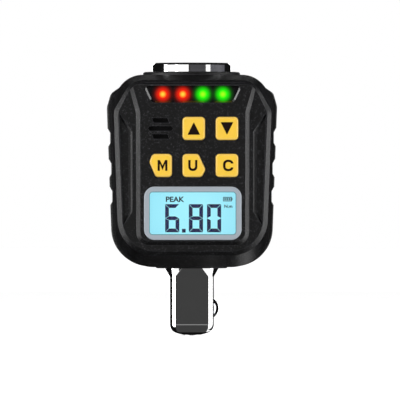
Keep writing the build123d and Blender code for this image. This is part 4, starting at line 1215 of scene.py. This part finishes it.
# The middle of the picture and of the studio, in millimetres.
LOOK_AT, CENTRE = (2.3, -8.0, 39.1), (0.0, 0.0, 40.0)
# The camera's sensor in millimetres, and how far it sees in metres.
SENSOR, FAR = 36.0, 100.0
# Softboxes: name, direction from the front in degrees, height angle, distance, size, light.
SOFTBOXES = (
    ("softbox_left", -64.0, 0.0, 0.6, (0.52, 0.7), 1.7),
    ("softbox_strip", -30.0, 0.0, 0.75, (0.55, 0.16), 1.9),
    ("softbox_right", 70.0, -4.0, 0.6, (0.66, 0.8), 1.7),
    ("softbox_edge_left", -82.0, 0.0, 0.5, (0.1, 0.6), 5.0),
    ("softbox_edge_right", 86.0, 0.0, 0.5, (0.1, 0.6), 5.0),
    ("softbox_key", -40.0, 52.0, 0.8, (0.4, 0.4), 1.6),
    ("softbox_top", 25.0, 68.0, 0.8, (0.4, 0.3), 1.0),
    ("softbox_back", 180.0, 6.0, 0.8, (0.36, 0.5), 4.0),
)
# Cards that only reflections see: name, place in metres, rotation in degrees, size, tone, light.
CARDS = (
    ("card_above", (0.0, 0.0, 1.3), (0.0, 0.0, 0.0), (2.6, 2.6), "#2A2A2A", 1.0),
    ("card_below", (0.0, 0.0, -0.9), (0.0, 0.0, 0.0), (2.6, 2.6), "#101010", 1.0),
    ("card_under", (0.0, -0.3, -0.88), (0.0, 0.0, 0.0), (0.8, 1.8), "#4B4B4B", 1.0),
    ("card_front", (0.0, -0.95, 0.2), (90.0, 0.0, 0.0), (1.6, 2.16), "#4B4B4B", 1.0),
    ("card_line", (0.0, -0.92, -0.11), (90.0, 0.0, 0.0), (0.9, 0.1), "#B0B0B0", 1.0),
    ("card_glint", (0.62, 0.035, -0.4), (0.0, 0.0, 0.0), (0.76, 0.27), "#FFFFFF", 1.6),
    ("card_glint_back", (0.205, 0.3, -0.4), (0.0, 0.0, 0.0), (0.17, 0.42), "#FFFFFF", 1.6),
    ("card_head", (0.27, -0.5, 0.0775), (90.0, 0.0, 0.0), (0.62, 0.012), "#6A6A70", 1.0),
    ("card_head_side", (0.06, -0.016, 0.0768), (90.0, 0.0, 90.0), (0.062, 0.009), "#6A6A70", 1.0),
)
# The dark card all round: its radius and height in metres, and its sides.
DRUM_RADIUS, DRUM_HEIGHT, DRUM_SIDES = 1.25, 2.6, 72


class ADAPTER_OT_studio(bpy.types.Operator):
    """Add the floor, the lights, the cards and the camera"""

    bl_idname = "adapter.studio"
    bl_label = "Studio"

    def execute(self, context):
        look = context.scene.adapter_studio
        self.floor(look)
        self.background(context)
        for name, turn, rise, distance, size, light in SOFTBOXES:
            self.softbox(name, turn, rise, distance, size, light)
        for name, place, turned, size, tone, light in CARDS:
            self.card(name, place, turned, size, tone, light)
        self.drum(look)
        self.camera(context, look)
        return {"FINISHED"}

    def spot(self, turn, rise, distance):
        """A place round the object and the rotation that faces it."""
        turn, rise = math.radians(turn), math.radians(rise)
        out = Vector(
            (math.sin(turn) * math.cos(rise), -math.cos(turn) * math.cos(rise), math.sin(rise))
        )
        return Vector(CENTRE) * MM + out * distance, out.to_track_quat("Z", "Y").to_euler()

    def floor(self, look):
        start_piece()
        bpy.ops.mesh.primitive_grid_add(x_subdivisions=4, y_subdivisions=4, size=FLOOR_SIZE)
        floor = bpy.context.object
        floor.name = "studio_floor"
        material, tree, place = patterned_material("Paper roll white")
        fibre = add(
            tree,
            "ShaderNodeTexNoise",
            {"Vector": place, "Scale": 1 / (FIBRE_WIDTH * MM), "Detail": 2.0},
        )
        rough = add(
            tree,
            "ShaderNodeMapRange",
            {"Value": fibre.outputs["Fac"], "To Min": 0.8, "To Max": 0.95},
        )
        rays = add(tree, "ShaderNodeLightPath")
        seen = add(
            tree,
            "ShaderNodeMath",
            {0: rays.outputs["Is Camera Ray"], 1: FLOOR_GLOW},
            operation="MULTIPLY",
        )
        shader = add(
            tree,
            "ShaderNodeBsdfPrincipled",
            {
                "Base Color": look.floor,
                "Roughness": rough.outputs[0],
                "Emission Color": (1.0, 1.0, 1.0, 1.0),
                "Emission Strength": seen.outputs[0],
            },
        )
        floor.data.materials.append(finish_material(material, shader))
        floor.visible_glossy = False

    def background(self, context):
        world = bpy.data.worlds.new("Studio")
        context.scene.world = world
        world.use_nodes = True
        tree = world.node_tree
        tree.nodes.clear()
        rays = add(tree, "ShaderNodeLightPath")
        seen = add(
            tree,
            "ShaderNodeMath",
            {0: rays.outputs["Is Camera Ray"], 1: rays.outputs["Is Glossy Ray"]},
            operation="MAXIMUM",
        )
        seen = add(
            tree,
            "ShaderNodeMath",
            {0: seen.outputs[0], 1: rays.outputs["Is Transmission Ray"]},
            operation="MAXIMUM",
        )
        level = add(
            tree, "ShaderNodeMapRange", {"Value": seen.outputs[0], "To Min": AMBIENT, "To Max": 1.0}
        )
        light = add(
            tree,
            "ShaderNodeBackground",
            {"Color": (1.0, 1.0, 1.0, 1.0), "Strength": level.outputs[0]},
        )
        add(tree, "ShaderNodeOutputWorld", {"Surface": light.outputs[0]})

    def softbox(self, name, turn, rise, distance, size, light):
        start_piece()
        place, facing = self.spot(turn, rise, distance)
        bpy.ops.object.light_add(type="AREA", location=place, rotation=facing)
        lamp = bpy.context.object
        lamp.name = name
        lamp.data.shape = "RECTANGLE"
        lamp.data.size, lamp.data.size_y = size
        lamp.data.energy = light * math.pi * size[0] * size[1]
        lamp.visible_camera = False

    def card(self, name, place, turned, size, tone, light):
        start_piece()
        bpy.ops.mesh.primitive_grid_add(
            x_subdivisions=2,
            y_subdivisions=2,
            size=1,
            location=place,
            rotation=[math.radians(a) for a in turned],
        )
        card = bpy.context.object
        card.name = name
        card.scale = (size[0], size[1], 1)
        bpy.ops.object.transform_apply(location=False, rotation=False, scale=True)
        self.for_reflections(card, linear(tone), light)

    def drum(self, look):
        """A curved dark card all round the object."""
        start_piece()
        bpy.ops.mesh.primitive_cylinder_add(
            vertices=DRUM_SIDES,
            radius=DRUM_RADIUS,
            depth=DRUM_HEIGHT,
            end_fill_type="NOTHING",
            location=Vector(CENTRE) * MM,
        )
        drum = bpy.context.object
        drum.name = "card_drum"
        self.for_reflections(drum, look.card, 1.0)

    def for_reflections(self, card, tone, light):
        """Velvet, woven: swallows the light, and only reflections see it."""
        material, tree = new_material("Velvet card")
        shader = add(
            tree,
            "ShaderNodeBsdfPrincipled",
            {
                "Base Color": (0.0, 0.0, 0.0, 1.0),
                "Roughness": 1.0,
                "Specular IOR Level": 0.0,
                "Emission Color": tone,
                "Emission Strength": light,
            },
        )
        card.data.materials.append(finish_material(material, shader))
        card.visible_camera = False
        card.visible_diffuse = False
        card.visible_shadow = False
        card.visible_transmission = False

    def camera(self, context, look):
        start_piece()
        distance = look.lens * look.view_width / SENSOR
        out = Vector((-math.sin(look.turn), -math.cos(look.turn), 0.0))
        place = Vector(LOOK_AT) * MM + out * distance
        bpy.ops.object.camera_add(location=place, rotation=(math.pi / 2, 0.0, -look.turn))
        camera = bpy.context.object
        camera.name = "camera"
        camera.data.lens = look.lens
        camera.data.sensor_width = SENSOR
        camera.data.clip_end = FAR
        context.scene.camera = camera
        context.scene.view_settings.view_transform = "Standard"


OPERATORS = (
    ADAPTER_OT_metal_parts,
    ADAPTER_OT_housing,
    ADAPTER_OT_grips_and_seals,
    ADAPTER_OT_display,
    ADAPTER_OT_reading,
    ADAPTER_OT_lamps,
    ADAPTER_OT_keys,
    ADAPTER_OT_legends,
    ADAPTER_OT_inner_parts,
    ADAPTER_OT_studio,
)


class ADAPTER_PT_panel(bpy.types.Panel):
    """Sizes, colours and steps of the torque adapter"""

    bl_label = "Torque Adapter"
    bl_idname = "ADAPTER_PT_panel"
    bl_space_type = "VIEW_3D"
    bl_region_type = "UI"
    bl_category = "Torque Adapter"

    def draw(self, context):
        for operator in OPERATORS:
            self.layout.operator(operator.bl_idname)
        for name, group in LOOKS.items():
            box = self.layout.box()
            box.label(text=name.replace("adapter_", "").capitalize())
            for prop in group.__annotations__:
                box.prop(getattr(context.scene, name), prop)


def register():
    for group in LOOKS.values():
        bpy.utils.register_class(group)
    for name, group in LOOKS.items():
        setattr(bpy.types.Scene, name, PointerProperty(type=group))
    for operator in OPERATORS:
        bpy.utils.register_class(operator)
    bpy.utils.register_class(ADAPTER_PT_panel)


def unregister():
    bpy.utils.unregister_class(ADAPTER_PT_panel)
    for operator in reversed(OPERATORS):
        bpy.utils.unregister_class(operator)
    for name in LOOKS:
        delattr(bpy.types.Scene, name)
    for group in reversed(list(LOOKS.values())):
        bpy.utils.unregister_class(group)


def main():
    register()
    for operator in OPERATORS:
        group, step = operator.bl_idname.split(".")
        getattr(getattr(bpy.ops, group), step)()


if __name__ == "__main__":
    main()
